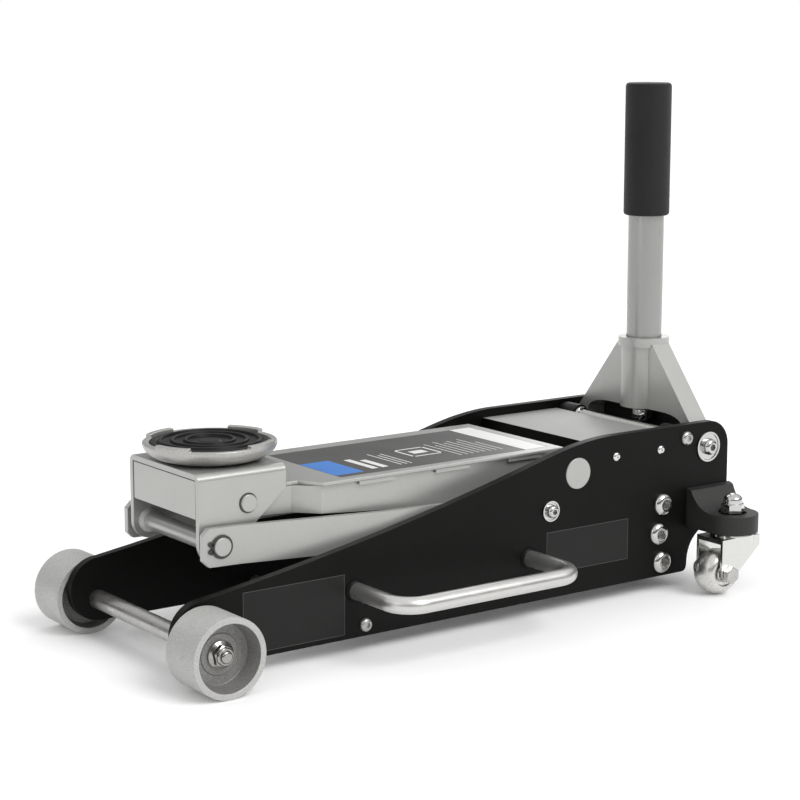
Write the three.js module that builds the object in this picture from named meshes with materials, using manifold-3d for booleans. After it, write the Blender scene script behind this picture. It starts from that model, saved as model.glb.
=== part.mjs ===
// Low-profile hydraulic floor jack with aluminium side plates, in millimetres, +Z up.
// While it is modelled, X runs back from the front axle, Y from left to right, and the floor is z = 0.
// The saddle's side is the front. At the end the group moves along X so that the origin is
// under the middle of the jack.
import * as THREE from "three";
import { mergeVertices } from "three/addons/utils/BufferGeometryUtils.js";
import Module from "manifold-3d";

const wasm = await Module();
wasm.setup();

// ---- driving dimensions ----
// clearances
const runningGap = 0.06; // a pin in a hole that turns on it, on the radius
const fixedGap = 0.03; // a pin in a hole of its own body
const faceGap = 0.3; // between faces of two bodies that pass each other
const seatGap = 0.3; // between pieces that rest on each other in one body

// side plates
const plateInnerY = 76; // half the inside width between the plates
const plateThickness = 7.6;
const plateBottomZ = 12.7;
const noseTopZ = 64;
const noseCentreX = 2.6;
const rampStartSlope = 0.14;
const rampEndX = 330;
const rampEndZ = 131;
const plateTopZ = 141.3;
const plateLevelX = 400;
const plateRearX = 531;
const rearCornerRadius = 22;
const rearFootZ = 50;
const footRearX = 481;

// front wheels and axle
const frontWheelRadius = 30.5;
const frontWheelWidth = 39.7;
const frontWheelGap = 1.7; // between the wheel and the side plate
const wheelRimWall = 4.9;
const wheelRecessDepth = 12;
const wheelHubStep = 3;
const wheelHubRadius = 15.5;
const wheelBackRecess = 9;
const wheelEdge = 1.2; // chamfer of the tread's edges
const frontAxleRadius = 5;
const axleSleeveRadius = 7.5;
const axleNutFlangeRadius = 10.5;
const axleNutFlangeHeight = 2.5;
const axleNutHexRadius = 8.6;
const axleNutHeight = 9;
const axleTipLength = 2.4;

// pivots of the lifting linkage: the arm turns about armPivot, the links about linkPivot
const armPivot = { x: 360.1, z: 114.1 };
const nosePivot = { x: 61.5, z: 123.3 };
const linkDrop = { x: -28.8, z: -27.9 }; // from an arm pivot to the link pivot that belongs to it
const armPivotRadius = 10;
const armPivotHeadRadius = 13;
const armHubRadius = 15.7;
const nosePinRadius = 6.8;
const crossPinRadius = 7.2;
const crankRadius = 42;
const crankPinRadius = 6;
const crankBossRadius = 11;
const liftDown = 14; // degrees that the arm drops below its modelled pose
const liftUp = 40; // degrees that it rises above it

// lift arm
const armPlateThickness = 5.5;
const armBracketGap = 1.6; // between the arm plates and the saddle bracket
const armRearGap = 15.5; // from the arm's wide end to the side plate
const armFlareStartX = 104;
const armFlareEndX = 122;
const armTopZ = 130;
const coverThickness = 3;
const coverMargin = 4; // how far the cover stands out past the arm's wide end
const coverFrontX = 100;
const coverRearX = 361;
const noseEyeRadius = 12.5;
const armWeb = { frontRise: 1.5, bellyX: 300, bellyDrop: 21, crankDrop: 24 }; // lower edge of the arm's side
const armBossGrip = 0.5; // share of the plate that its hub boss reaches into

// parallel links
const linkHeight = 29.4;
const linkThickness = 5.2;
const linkFrontGap = 3.3; // between a link's front end and the saddle bracket
const linkRearGap = 1.5; // between its rear end and the side plate
const linkNose = 15.5; // from the cross pin to the link's front end
const linkBendX = 49;
const linkStraightX = 176;
const linkBoltRadius = 5;
const linkBoltHeadRadius = 5.6;
const linkBoltHeadHeight = 4.4;
const linkWasher = { radius: 8.6, height: 1.4 };

// saddle bracket
const bracketMargin = 24; // from the bracket's sides to the inside of the side plates
const bracketThickness = 4.6;
const bracketFrontX = 18.4;
const bracketRearX = 96;
const bracketTopZ = 149.4;
const bracketRearLowZ = 130.8;
const bracketEyeRadius = 14.3;
const bracketBendRadius = 6;
const frontPlateLowZ = 114.8;

// saddle
const saddleX = 60;
const saddleRimRadius = 51.8;
const saddleBaseRadius = 34;
const saddleRimZ = 163.4;
const saddleToothHeight = 2.6;
const saddleToothCount = 4;
const saddleTurn = 24; // degrees from +X to the middle of the first tooth
const padRadius = 46.3;
const padBottomZ = 156.6;
const padTopZ = 165.1;
const padGrooveDepth = 1.6;
const saddleStudRadius = 9;

// power unit
const unitFrontX = 436;
const unitRearX = 492;
const unitTopZ = 87;
const unitBottomZ = 15;
const unitBolts = [
  { name: "upper", x: 454.6, z: 75.5 },
  { name: "middle", x: 450.2, z: 50.6 },
  { name: "lower", x: 454.4, z: 25.4 },
];
const unitBoltRadius = 5;
const unitBoltHeadRadius = 8;
const unitBoltHeadHeight = 5.6;
const ramRadius = 8;
const ramBoreGap = 0.8;
const ramRearX = 438.4;
const glandFrontX = 397;
const glandLength = 9;
const glandRadius = 20;
const cylinderWall = 7;
const tankRadius = 27;
const tankWall = 3;
const yokeHalfLength = 14;
const yokeHalfWidth = 20;
const yokeBarMargin = 11; // from the bar's ends to the arm plates
const springMargin = 6; // from the bar's ends to the middle of the springs
const springRadius = 5.4;
const springWire = 1.8;

// unit cover and tie rods
const unitCoverFrontX = 386;
const unitCoverRearX = 471;
const unitCoverTopZ = 134;
const unitCoverSheet = 2;
const unitCoverSkirt = 20;
const rearTie = { x: 481.7, z: 129.5 };
const rearTieRadius = 5.5;
const rearTieSleeveRadius = 9.2;
const rearTieSleeveLength = 21;
const frontTie = { x: 146.6, z: 21.7 };
const frontTieRadius = 5.5;
const tieNeckRadius = 3;
const tieHeadRadius = 5.2;
const tieHeadHeight = 3.4;

// carry handles
const carryFrontX = 136.9;
const carryRearX = 309.1;
const carryZ = 50.3;
const carryReach = 63.4; // from the side plate to the middle of the bar
const carryBarRadius = 6.75;
const carryBendRadius = 20;

// handle socket, pump lever and pump
const socketPivot = { x: 507, z: 119.4 };
const socketDepth = 20;
const socketTopHalf = 22;
const socketShoulderZ = 201;
const socketWideMargin = 7; // from the flanges' outer faces to the wide end of the slope
const socketWideZ = 143;
const socketSideGap = 1; // between the flanges and the side plates
const flangeThickness = 13;
const flangeEyeRadius = 14;
const archMargin = 22; // from the flanges' inner faces to the top of the arch
const archTopZ = 143.5;
const socketTubeRadius = 20;
const collarRadius = 22.5;
const collarHeight = 8;
const collarTopZ = 206;
const socketBoltRadius = 8;
const socketBoltHeadRadius = 7.6;
const socketBoltHeadHeight = 5;
const socketWasherRadius = 13;
const socketWasherHeight = 1.5;
const leverRadius = 9;
const rollerCrank = 20;
const rollerLead = 37.5; // degrees from straight down, towards the rear
const rollerRadius = 8.5;
const rollerHalfWidth = 9.6;
const rollerPinRadius = 3.5;
const leverEarThickness = 5;
const leverEarRadius = 7.5;
const handleDown = 75; // degrees that the handle tips back
const pumpZ = 101;
const pumpBossHalf = 16;
const pumpBossSetback = 2; // the boss starts this far behind the unit's front face
const pumpBossRearX = 468;
const pumpBossTopZ = 113;
const plungerRadius = 5;
const plungerHeadRadius = 9;
const plungerHeadLength = 5;
const plungerFrontX = 469;
const pumpNeckRadius = 6.2;
const pumpFlangeX = 462;
const pumpNeckRearX = 476;
const pumpSpringWire = 1.8;
const valve = { x: 482, y: -34 };
const valveRadius = 7;
const valveStemRadius = 4;
const valveHeight = 12;

// operating handle
const handleRadius = 15.5;
const handleWall = 2;
const handleBottomZ = 150.5;
const gripRadius = 20;
const gripBottomZ = 313;
const handleTopZ = 427.7;
const gripCapThickness = 3;
const spindleRadius = 7.6;
const spindleHeadRadius = 9.5;
const spindleBottomZ = 129.2;

// casters
const casterX = 505;
const casterReach = 33.9; // from the side plate to the swivel's axis
const casterLugRadius = 20.5;
const casterLugThickness = 16;
const casterRootRise = 18; // from the lug's top to its root's top, against the side plate
const casterRootFrontX = 483;
const casterRootRearX = 534;
const casterNutRecess = 12;
const casterNutDepth = 2;
const casterTrail = 18;
const casterWheelRadius = 19.4;
const casterWheelWidth = 23;
const casterForkGap = 1.5;
const casterForkThickness = 2.6;
const casterForkPlate = 5;
const casterWheelHeadroom = 6.8; // between the wheel and the plate of its fork
const casterRaceGap = 1.4; // between the fork and the lug
const casterForkRadius = 19;
const casterForkFoot = 8; // radius of the fork's cheeks round the axle
const casterWheelSide = 15.2; // radius of the wheel's flat sides
const casterWheelCrown = 1.3; // how far the tread's shoulders lie below its middle
const casterAxleRadius = 4;
const casterAxleHeadRadius = 7.5;
const casterAxleHeadHeight = 5;
const casterPinRadius = 5;
const acornHexRadius = 10.4;
const acornHexHeight = 10;
const acornDomeRadius = 8.4;

// ---- sizes worked out from them ----
const plateOuterY = plateInnerY + plateThickness;
const frontWheelOuterY = plateOuterY + frontWheelGap + frontWheelWidth;
const bracketOuterY = plateInnerY - bracketMargin;
const armFrontOuterY = bracketOuterY - bracketThickness - armBracketGap;
const armRearOuterY = plateInnerY - armRearGap;
const coverHalfWidth = armRearOuterY + coverMargin;
const linkFrontInnerY = bracketOuterY + linkFrontGap;
const linkRearInnerY = plateInnerY - linkRearGap - linkThickness;
const yokeBarHalfWidth = armRearOuterY - armPlateThickness - yokeBarMargin;
const springY = yokeBarHalfWidth - springMargin;
const carryReachY = plateOuterY + carryReach;
const socketOuterY = plateInnerY - socketSideGap;
const flangeInnerY = socketOuterY - flangeThickness;
const socketWideHalf = socketOuterY - socketWideMargin;
const archHalf = flangeInnerY - archMargin;
const caster = { x: casterX, y: plateOuterY + casterReach };
const casterForkTopZ = 2 * casterWheelRadius + casterWheelHeadroom + casterForkPlate;
const casterLugBottomZ = casterForkTopZ + casterRaceGap;
const casterLugTopZ = casterLugBottomZ + casterLugThickness;
const casterRootTopZ = casterLugTopZ + casterRootRise;
const linkPivot = { x: armPivot.x + linkDrop.x, z: armPivot.z + linkDrop.z };
const crossPin = { x: nosePivot.x + linkDrop.x, z: nosePivot.z + linkDrop.z };
const degree = Math.PI / 180;
const liftMiddle = (liftUp - liftDown) / 2;
const liftHalf = (liftUp + liftDown) / 2;
// The ram moves evenly with the arm, so the crank pin wanders a little in its upright slot.
const ramPerRadian = (crankRadius * Math.sin(liftHalf * degree)) / (liftHalf * degree);
const crankPin = {
  x: armPivot.x + crankRadius * Math.sin(liftMiddle * degree),
  z: armPivot.z - crankRadius * Math.cos(liftMiddle * degree),
};
const slotX = armPivot.x + ramPerRadian * liftMiddle * degree;
const crankRiseHalf = (crankRadius * (1 - Math.cos(liftHalf * degree))) / 2;
const ramZ = armPivot.z - crankRadius + crankRiseHalf;
const crankWander = crankRadius * Math.sin(liftMiddle * degree) - ramPerRadian * liftMiddle * degree;
const coverTopZ = armTopZ + coverThickness;

// ---- small tools ----
const sidesOf = (radius) => (radius < 6.5 ? 12 : radius < 12 ? 16 : 24);

// The radius of a many-sided hole that leaves the gap all round a shaft.
const holeRadius = (radius, gap) => (radius + gap) / Math.cos(Math.PI / sidesOf(radius));

function toSolid(geometry) {
  const bare = geometry.index ? geometry.toNonIndexed() : geometry.clone();
  bare.deleteAttribute("normal");
  bare.deleteAttribute("uv");
  const merged = mergeVertices(bare, 1e-4);
  return new wasm.Manifold(
    new wasm.Mesh({
      numProp: 3,
      vertProperties: new Float32Array(merged.attributes.position.array),
      triVerts: new Uint32Array(merged.index.array),
    }),
  );
}

function fromSolid(solid) {
  const mesh = solid.getMesh();
  const geometry = new THREE.BufferGeometry();
  geometry.setAttribute("position", new THREE.BufferAttribute(mesh.vertProperties, 3));
  geometry.setIndex(new THREE.BufferAttribute(mesh.triVerts, 1));
  return geometry;
}

const cut = (geometry, ...tools) =>
  fromSolid(tools.reduce((solid, tool) => solid.subtract(toSolid(tool)), toSolid(geometry)));

const join = (...parts) =>
  fromSolid(parts.map(toSolid).reduce((all, part) => all.add(part)));

const common = (a, b) => fromSolid(toSolid(a).intersect(toSolid(b)));

// A box between two corners.
function box(x0, x1, y0, y1, z0, z1) {
  const geometry = new THREE.BoxGeometry(x1 - x0, y1 - y0, z1 - z0);
  return geometry.translate((x0 + x1) / 2, (y0 + y1) / 2, (z0 + z1) / 2);
}

// Round bars along the three axes, from one end to the other.
function barY(radius, x, z, y0, y1, sides = sidesOf(radius)) {
  const geometry = new THREE.CylinderGeometry(radius, radius, y1 - y0, sides);
  return geometry.translate(x, (y0 + y1) / 2, z);
}

function barZ(radius, x, y, z0, z1, sides = sidesOf(radius)) {
  const geometry = new THREE.CylinderGeometry(radius, radius, z1 - z0, sides);
  return geometry.rotateX(Math.PI / 2).translate(x, y, (z0 + z1) / 2);
}

function barX(radius, y, z, x0, x1, sides = sidesOf(radius)) {
  const geometry = new THREE.CylinderGeometry(radius, radius, x1 - x0, sides);
  return geometry.rotateZ(-Math.PI / 2).translate((x0 + x1) / 2, y, z);
}

// A body of revolution about Y. The profile is [radius, y] pairs with y rising, on the outside.
function turnedY(profile, sides) {
  return new THREE.LatheGeometry(profile.map(([r, y]) => new THREE.Vector2(r, y)), sides);
}

const turnedZ = (profile, sides) => turnedY(profile, sides).rotateX(Math.PI / 2);

const turnedX = (profile, sides) => turnedY(profile, sides).rotateZ(-Math.PI / 2);

// A flat outline in X and Z made into a plate from y0 to y1.
function plateXZ(shape, y0, y1, curveSegments = 8) {
  const geometry = new THREE.ExtrudeGeometry(shape, {
    depth: y1 - y0,
    bevelEnabled: false,
    curveSegments,
  });
  return geometry.rotateX(Math.PI / 2).translate(0, y1, 0);
}

// A flat outline in X and Y made into a plate from z0 to z1.
function plateXY(shape, z0, z1, curveSegments = 8) {
  const geometry = new THREE.ExtrudeGeometry(shape, {
    depth: z1 - z0,
    bevelEnabled: false,
    curveSegments,
  });
  return geometry.translate(0, 0, z0);
}

// A flat outline in Y and Z made into a plate from x0 to x1.
function plateYZ(shape, x0, x1, curveSegments = 8) {
  const geometry = new THREE.ExtrudeGeometry(shape, {
    depth: x1 - x0,
    bevelEnabled: false,
    curveSegments,
  });
  return geometry.rotateY(Math.PI / 2).rotateX(Math.PI / 2).translate(x0, 0, 0);
}

const polygon = (points) => new THREE.Shape(points.map(([x, y]) => new THREE.Vector2(x, y)));

// The outline of a belt round two circles: a strap with two round ends.
function strap(a, aRadius, b, bRadius) {
  const along = Math.atan2(b.z - a.z, b.x - a.x);
  const lean = Math.acos((aRadius - bRadius) / Math.hypot(b.x - a.x, b.z - a.z));
  const shape = new THREE.Shape();
  shape.absarc(a.x, a.z, aRadius, along + lean, along - lean + 2 * Math.PI, false);
  shape.absarc(b.x, b.z, bRadius, along - lean, along + lean, false);
  shape.closePath();
  return shape;
}

// A wire wound along Z from zero, with closed ends.
class Helix extends THREE.Curve {
  constructor(radius, length, turns) {
    super();
    Object.assign(this, { radius, length, turns });
  }

  getPoint(t) {
    const angle = t * this.turns * 2 * Math.PI;
    return new THREE.Vector3(
      this.radius * Math.cos(angle),
      this.radius * Math.sin(angle),
      t * this.length,
    );
  }
}

function coil(radius, wire, length, turns, stepsPerTurn = 8) {
  const section = new THREE.Shape();
  section.absarc(0, 0, wire / 2, 0, 2 * Math.PI, false);
  return new THREE.ExtrudeGeometry(section, {
    steps: Math.round(turns * stepsPerTurn),
    curveSegments: 3,
    bevelEnabled: false,
    extrudePath: new Helix(radius, length - wire, turns),
  }).translate(0, 0, wire / 2);
}

// A round bar that runs through corner points, with round bends.
function bentBar(corners, radius, bend, steps, curveSegments) {
  const path = new THREE.CurvePath();
  const points = corners.map((p) => new THREE.Vector3(...p));
  let from = points[0];
  for (let i = 1; i < points.length - 1; i++) {
    const before = points[i].clone().sub(points[i - 1]).normalize();
    const after = points[i + 1].clone().sub(points[i]).normalize();
    const start = points[i].clone().addScaledVector(before, -bend);
    const end = points[i].clone().addScaledVector(after, bend);
    const roundness = bend * (4 / 3) * (Math.SQRT2 - 1);
    path.add(new THREE.LineCurve3(from, start));
    path.add(
      new THREE.CubicBezierCurve3(
        start,
        start.clone().addScaledVector(before, roundness),
        end.clone().addScaledVector(after, -roundness),
        end,
      ),
    );
    from = end;
  }
  path.add(new THREE.LineCurve3(from, points.at(-1)));
  const section = new THREE.Shape();
  section.absarc(0, 0, radius, 0, 2 * Math.PI, false);
  return new THREE.ExtrudeGeometry(section, {
    steps,
    curveSegments,
    bevelEnabled: false,
    extrudePath: path,
  });
}

// ---- materials ----
const finish = (color, roughness, metalness) =>
  new THREE.MeshStandardMaterial({ color, roughness, metalness });
const blackPlate = finish(0x1c1b19, 0.45, 0.3);
const greyPaint = finish(0xbdbdba, 0.4, 0.2);
const castGrey = finish(0xb4b4b0, 0.6, 0.3);
const brightSteel = finish(0xc9c9c7, 0.22, 0.9);
const brushedSteel = finish(0xa9a8a5, 0.35, 0.9);
const darkSteel = finish(0x54534f, 0.5, 0.8);
const springSteel = finish(0x6c6b68, 0.4, 0.8);
const blackCasting = finish(0x232220, 0.6, 0.3);
const blackRubber = finish(0x191918, 0.85, 0);
const blackFoam = finish(0x151515, 0.9, 0);

const jack = new THREE.Group();

function add(name, geometry, material, parent = jack) {
  const mesh = new THREE.Mesh(geometry, material);
  mesh.name = name;
  parent.add(mesh);
  return mesh;
}

// A piece of the left side (-Y), and its mirror image on the right.
function addPair(name, geometry, material) {
  add(name + "_left", geometry, material);
  add(name + "_right", geometry, material).scale.y = -1;
}

// ---- side plates ----
function sidePlate() {
  const noseRadius = (noseTopZ - plateBottomZ) / 2;
  const noseZ = plateBottomZ + noseRadius;
  const run = rampEndX - noseCentreX;
  const rise = rampEndZ - noseTopZ;
  const endSlope = (2 * rise) / run - rampStartSlope;
  const shape = new THREE.Shape();
  shape.moveTo(noseCentreX, plateBottomZ);
  shape.lineTo(footRearX - 2, plateBottomZ);
  shape.quadraticCurveTo(footRearX + 4, plateBottomZ, footRearX + 4, plateBottomZ + 7);
  shape.bezierCurveTo(
    footRearX + 4,
    plateBottomZ + 20,
    footRearX + 10,
    rearFootZ - 6,
    footRearX + 24,
    rearFootZ,
  );
  shape.lineTo(plateRearX, rearFootZ);
  shape.lineTo(plateRearX, plateTopZ - rearCornerRadius);
  shape.absarc(
    plateRearX - rearCornerRadius,
    plateTopZ - rearCornerRadius,
    rearCornerRadius,
    0,
    Math.PI / 2,
    false,
  );
  shape.lineTo(plateLevelX, plateTopZ);
  const kneeX = rampEndX + (plateTopZ - rampEndZ) / endSlope;
  shape.quadraticCurveTo(kneeX, plateTopZ, rampEndX, rampEndZ);
  shape.quadraticCurveTo(
    noseCentreX + run / 2,
    noseTopZ + (rampStartSlope * run) / 2,
    noseCentreX,
    noseTopZ,
  );
  shape.absarc(noseCentreX, noseZ, noseRadius, Math.PI / 2, (3 * Math.PI) / 2, false);
  const outer = -plateOuterY - 1;
  const inner = -plateInnerY + 1;
  const hole = (place, radius) =>
    barY(holeRadius(radius, fixedGap), place.x, place.z, outer, inner, sidesOf(radius));
  return cut(
    plateXZ(shape, -plateOuterY, -plateInnerY, 10),
    hole({ x: 0, z: frontWheelRadius }, frontAxleRadius),
    hole(armPivot, armPivotHeadRadius),
    hole(linkPivot, linkBoltRadius),
    hole(socketPivot, socketBoltRadius),
    hole(rearTie, tieNeckRadius),
    hole(frontTie, tieNeckRadius),
    ...unitBolts.map((bolt) => hole(bolt, unitBoltRadius)),
  );
}
addPair("side_plate", sidePlate(), blackPlate);

// ---- front axle and wheels ----
const hubFaceY = frontWheelOuterY - wheelRecessDepth - wheelHubStep;
const nutOuterY = hubFaceY + faceGap + axleNutHeight;
const axleHalf = nutOuterY + axleTipLength;
add("front_axle", barY(frontAxleRadius, 0, frontWheelRadius, -axleHalf, axleHalf), brightSteel);
add(
  "front_axle_sleeve",
  cut(
    barY(axleSleeveRadius, 0, frontWheelRadius, -plateInnerY, plateInnerY),
    barY(
      holeRadius(frontAxleRadius, fixedGap),
      0,
      frontWheelRadius,
      -plateOuterY,
      plateOuterY,
      sidesOf(frontAxleRadius),
    ),
  ),
  brushedSteel,
);

function frontWheel() {
  const innerY = frontWheelOuterY - frontWheelWidth;
  const mouth = frontWheelRadius - wheelRimWall;
  const bore = holeRadius(frontAxleRadius, runningGap);
  const profile = [
    [bore, -hubFaceY],
    [wheelHubRadius, -hubFaceY],
    [wheelHubRadius, -hubFaceY - wheelHubStep],
    [mouth - 3.5, -hubFaceY - wheelHubStep],
    [mouth, -frontWheelOuterY],
    [frontWheelRadius - wheelEdge, -frontWheelOuterY],
    [frontWheelRadius, -frontWheelOuterY + wheelEdge],
    [frontWheelRadius, -innerY - wheelEdge],
    [frontWheelRadius - wheelEdge, -innerY],
    [mouth, -innerY],
    [mouth - 2, -innerY - wheelBackRecess],
    [wheelHubRadius - 3, -innerY - wheelBackRecess],
    [wheelHubRadius - 3, -innerY],
    [bore, -innerY],
    [bore, -hubFaceY],
  ];
  // Each segment of the wheel has whole sides of its bore, which is as round as the axle.
  return turnedY(profile, 2 * sidesOf(frontAxleRadius)).translate(0, 0, frontWheelRadius);
}
addPair("front_wheel", frontWheel(), castGrey);

function flangeNut() {
  const inner = -hubFaceY - faceGap;
  const skirt = barY(axleNutFlangeRadius, 0, frontWheelRadius, inner - axleNutFlangeHeight, inner, 24);
  const hex = barY(axleNutHexRadius, 0, frontWheelRadius, -nutOuterY, inner, 6);
  const bore = holeRadius(frontAxleRadius, fixedGap);
  return cut(
    join(skirt, hex),
    barY(bore, 0, frontWheelRadius, -axleHalf - 1, inner + 1, sidesOf(frontAxleRadius)),
  );
}
addPair("front_axle_nut", flangeNut(), brightSteel);

// ---- carry handles ----
addPair(
  "carry_handle",
  bentBar(
    [
      [carryFrontX, -plateOuterY, carryZ],
      [carryFrontX, -carryReachY, carryZ],
      [carryRearX, -carryReachY, carryZ],
      [carryRearX, -plateOuterY, carryZ],
    ],
    carryBarRadius,
    carryBendRadius,
    30,
    5,
  ),
  brushedSteel,
);

// ---- tie rods: a bar between the plates with a screwed neck and a round head at each end ----
function tieRod(place, middle) {
  const neck = [
    [0, -plateOuterY - tieHeadHeight],
    [tieHeadRadius * 0.6, -plateOuterY - tieHeadHeight],
    [tieHeadRadius, -plateOuterY - 0.8],
    [tieHeadRadius, -plateOuterY],
    [tieNeckRadius, -plateOuterY],
    [tieNeckRadius, -plateInnerY],
  ];
  const mirrored = [...neck, ...middle].map(([r, y]) => [r, -y]).reverse();
  return turnedY([...neck, ...middle, ...mirrored], sidesOf(tieHeadRadius)).translate(place.x, 0, place.z);
}
add("front_tie_rod", tieRod(frontTie, [[frontTieRadius, -plateInnerY]]), brushedSteel);
const sleeveEndY = plateInnerY - rearTieSleeveLength;
const tieCollar = 3;
add(
  "rear_tie_rod",
  tieRod(rearTie, [
    [rearTieSleeveRadius, -plateInnerY],
    [rearTieSleeveRadius, -sleeveEndY],
    [rearTieRadius + 2, -sleeveEndY],
    [rearTieRadius + 2, -sleeveEndY + tieCollar],
    [rearTieRadius, -sleeveEndY + tieCollar],
  ]),
  brushedSteel,
);

// ---- bolts that close the side plates ----
const buttonHead = (radius, height, y) => [
  [0, y - height],
  [radius * 0.45, y - height],
  [radius * 0.82, y - height * 0.68],
  [radius, y - height * 0.2],
  [radius, y],
];
for (const bolt of unitBolts) {
  const left = buttonHead(unitBoltHeadRadius, unitBoltHeadHeight, -plateOuterY);
  left.push([unitBoltRadius, -plateOuterY]);
  const right = left.map(([r, y]) => [r, -y]).reverse();
  const geometry = turnedY([...left, ...right], sidesOf(unitBoltRadius));
  add("unit_bolt_" + bolt.name, geometry.translate(bolt.x, 0, bolt.z), brightSteel);
}

function linkBolt() {
  const profile = buttonHead(linkBoltHeadRadius, linkBoltHeadHeight, -plateOuterY - linkWasher.height);
  profile.push(
    [linkWasher.radius, -plateOuterY - linkWasher.height],
    [linkWasher.radius, -plateOuterY],
    [linkBoltRadius, -plateOuterY],
    [linkBoltRadius, -linkRearInnerY + 1],
    [0, -linkRearInnerY + 1],
  );
  return turnedY(profile, sidesOf(linkBoltRadius)).translate(linkPivot.x, 0, linkPivot.z);
}
addPair("link_pivot_bolt", linkBolt(), brightSteel);

function socketBolt() {
  const washerY = -plateOuterY - socketWasherHeight;
  const profile = buttonHead(socketBoltHeadRadius, socketBoltHeadHeight, washerY);
  profile.push(
    [socketWasherRadius, washerY],
    [socketWasherRadius, -plateOuterY],
    [socketBoltRadius, -plateOuterY],
    [socketBoltRadius, -flangeInnerY - faceGap],
    [0, -flangeInnerY - faceGap],
  );
  return turnedY(profile, sidesOf(socketBoltRadius)).translate(socketPivot.x, 0, socketPivot.z);
}
addPair("socket_pivot_bolt", socketBolt(), brightSteel);

// ---- lift arm ----
const armInnerY = armRearOuterY - armPlateThickness;

function armSide() {
  const inside = [
    [nosePivot.x - noseEyeRadius - 1, -armFrontOuterY + armPlateThickness],
    [armFlareStartX, -armFrontOuterY + armPlateThickness],
    [armFlareEndX, -armInnerY],
    [armPivot.x + armHubRadius + 30, -armInnerY],
  ];
  const outside = inside.map(([x, y]) => [x, y - armPlateThickness]).reverse();
  const sheet = plateXY(polygon([...outside, ...inside].reverse()), 0, armTopZ);
  const web = polygon([
    [nosePivot.x + 14, nosePivot.z - noseEyeRadius + armWeb.frontRise],
    [armWeb.bellyX, armPivot.z - armWeb.bellyDrop],
    [crankPin.x - armWeb.crankDrop, armPivot.z - armWeb.crankDrop],
    [armPivot.x + 6, armPivot.z - 8],
    [coverRearX - 2, armTopZ],
    [nosePivot.x + 20, armTopZ],
  ]);
  const wide = [-plateOuterY, 0];
  const outline = join(
    plateXZ(web, ...wide),
    plateXZ(strap(nosePivot, noseEyeRadius, armPivot, armHubRadius), ...wide, 8),
    plateXZ(strap(crankPin, crankBossRadius, armPivot, armHubRadius), ...wide, 5),
  );
  const boss = barY(
    armHubRadius,
    armPivot.x,
    armPivot.z,
    -plateInnerY + faceGap,
    -armInnerY - armPlateThickness * armBossGrip,
  );
  const through = (place, radius, gap) =>
    barY(holeRadius(radius, gap), place.x, place.z, -plateOuterY, 0, sidesOf(radius));
  return cut(
    join(common(sheet, outline), boss),
    through(armPivot, armPivotRadius, runningGap),
    through(nosePivot, nosePinRadius, fixedGap),
    through(crankPin, crankPinRadius, fixedGap),
  );
}
addPair("arm_side", armSide(), greyPaint);

function armCover() {
  const half = [
    [coverFrontX, armFrontOuterY - 0.4],
    [armFlareStartX + 6, armFrontOuterY - 0.4],
    [armFlareEndX, coverHalfWidth],
    [coverRearX, coverHalfWidth],
  ];
  const other = half.map(([x, y]) => [x, -y]).reverse();
  return plateXY(polygon([...half, ...other].reverse()), armTopZ + 0.02, coverTopZ);
}
add("arm_top_cover", armCover(), greyPaint);

const stub = plateThickness - 1;
const shaftHalf = plateOuterY + 1;
const shaftEnd = [
  [0, -shaftHalf],
  [armPivotHeadRadius, -shaftHalf],
  [armPivotHeadRadius, -shaftHalf + stub],
  [armPivotRadius, -shaftHalf + stub],
];
add(
  "arm_pivot_shaft",
  turnedY(
    [...shaftEnd, ...shaftEnd.map(([r, y]) => [r, -y]).reverse()],
    sidesOf(armPivotHeadRadius),
  ).translate(armPivot.x, 0, armPivot.z),
  greyPaint,
);
add(
  "crank_pin",
  barY(crankPinRadius, crankPin.x, crankPin.z, -armRearOuterY, armRearOuterY),
  darkSteel,
);
const nosePinHalf = linkFrontInnerY - 0.8;
add(
  "arm_nose_pin",
  barY(nosePinRadius, nosePivot.x, nosePivot.z, -nosePinHalf, nosePinHalf),
  greyPaint,
);

// ---- parallel links ----
function link() {
  const half = linkHeight / 2;
  const front = { x: crossPin.x - linkNose, z: crossPin.z };
  const lean = (linkPivot.z - crossPin.z) / (linkPivot.x - crossPin.x);
  const corner = 5;
  const shape = new THREE.Shape();
  shape.moveTo(front.x, front.z - half + corner);
  shape.lineTo(front.x + corner, front.z - half);
  const tilt = Math.atan(lean);
  shape.absarc(linkPivot.x, linkPivot.z, half, -Math.PI / 2 + tilt, Math.PI / 2 + tilt, false);
  shape.lineTo(front.x + corner, front.z + half);
  shape.lineTo(front.x, front.z + half - corner);
  const inner = [
    [front.x - 1, -linkFrontInnerY],
    [linkBendX, -linkFrontInnerY],
    [linkStraightX, -linkRearInnerY],
    [linkPivot.x + linkHeight, -linkRearInnerY],
  ];
  const outer = inner.map(([x, y]) => [x, y - linkThickness]).reverse();
  const strip = plateXY(polygon([...outer, ...inner].reverse()), 0, plateTopZ);
  const hole = (place, radius, gap) =>
    barY(holeRadius(radius, gap), place.x, place.z, -plateOuterY, 0, sidesOf(radius));
  return cut(
    common(strip, plateXZ(shape, -plateOuterY, 0, 8)),
    hole(linkPivot, linkBoltRadius, runningGap),
    hole(crossPin, crossPinRadius, faceGap),
  );
}
addPair("parallel_link", link(), greyPaint);

// ---- saddle bracket ----
const bracketInnerY = bracketOuterY - bracketThickness;

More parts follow.
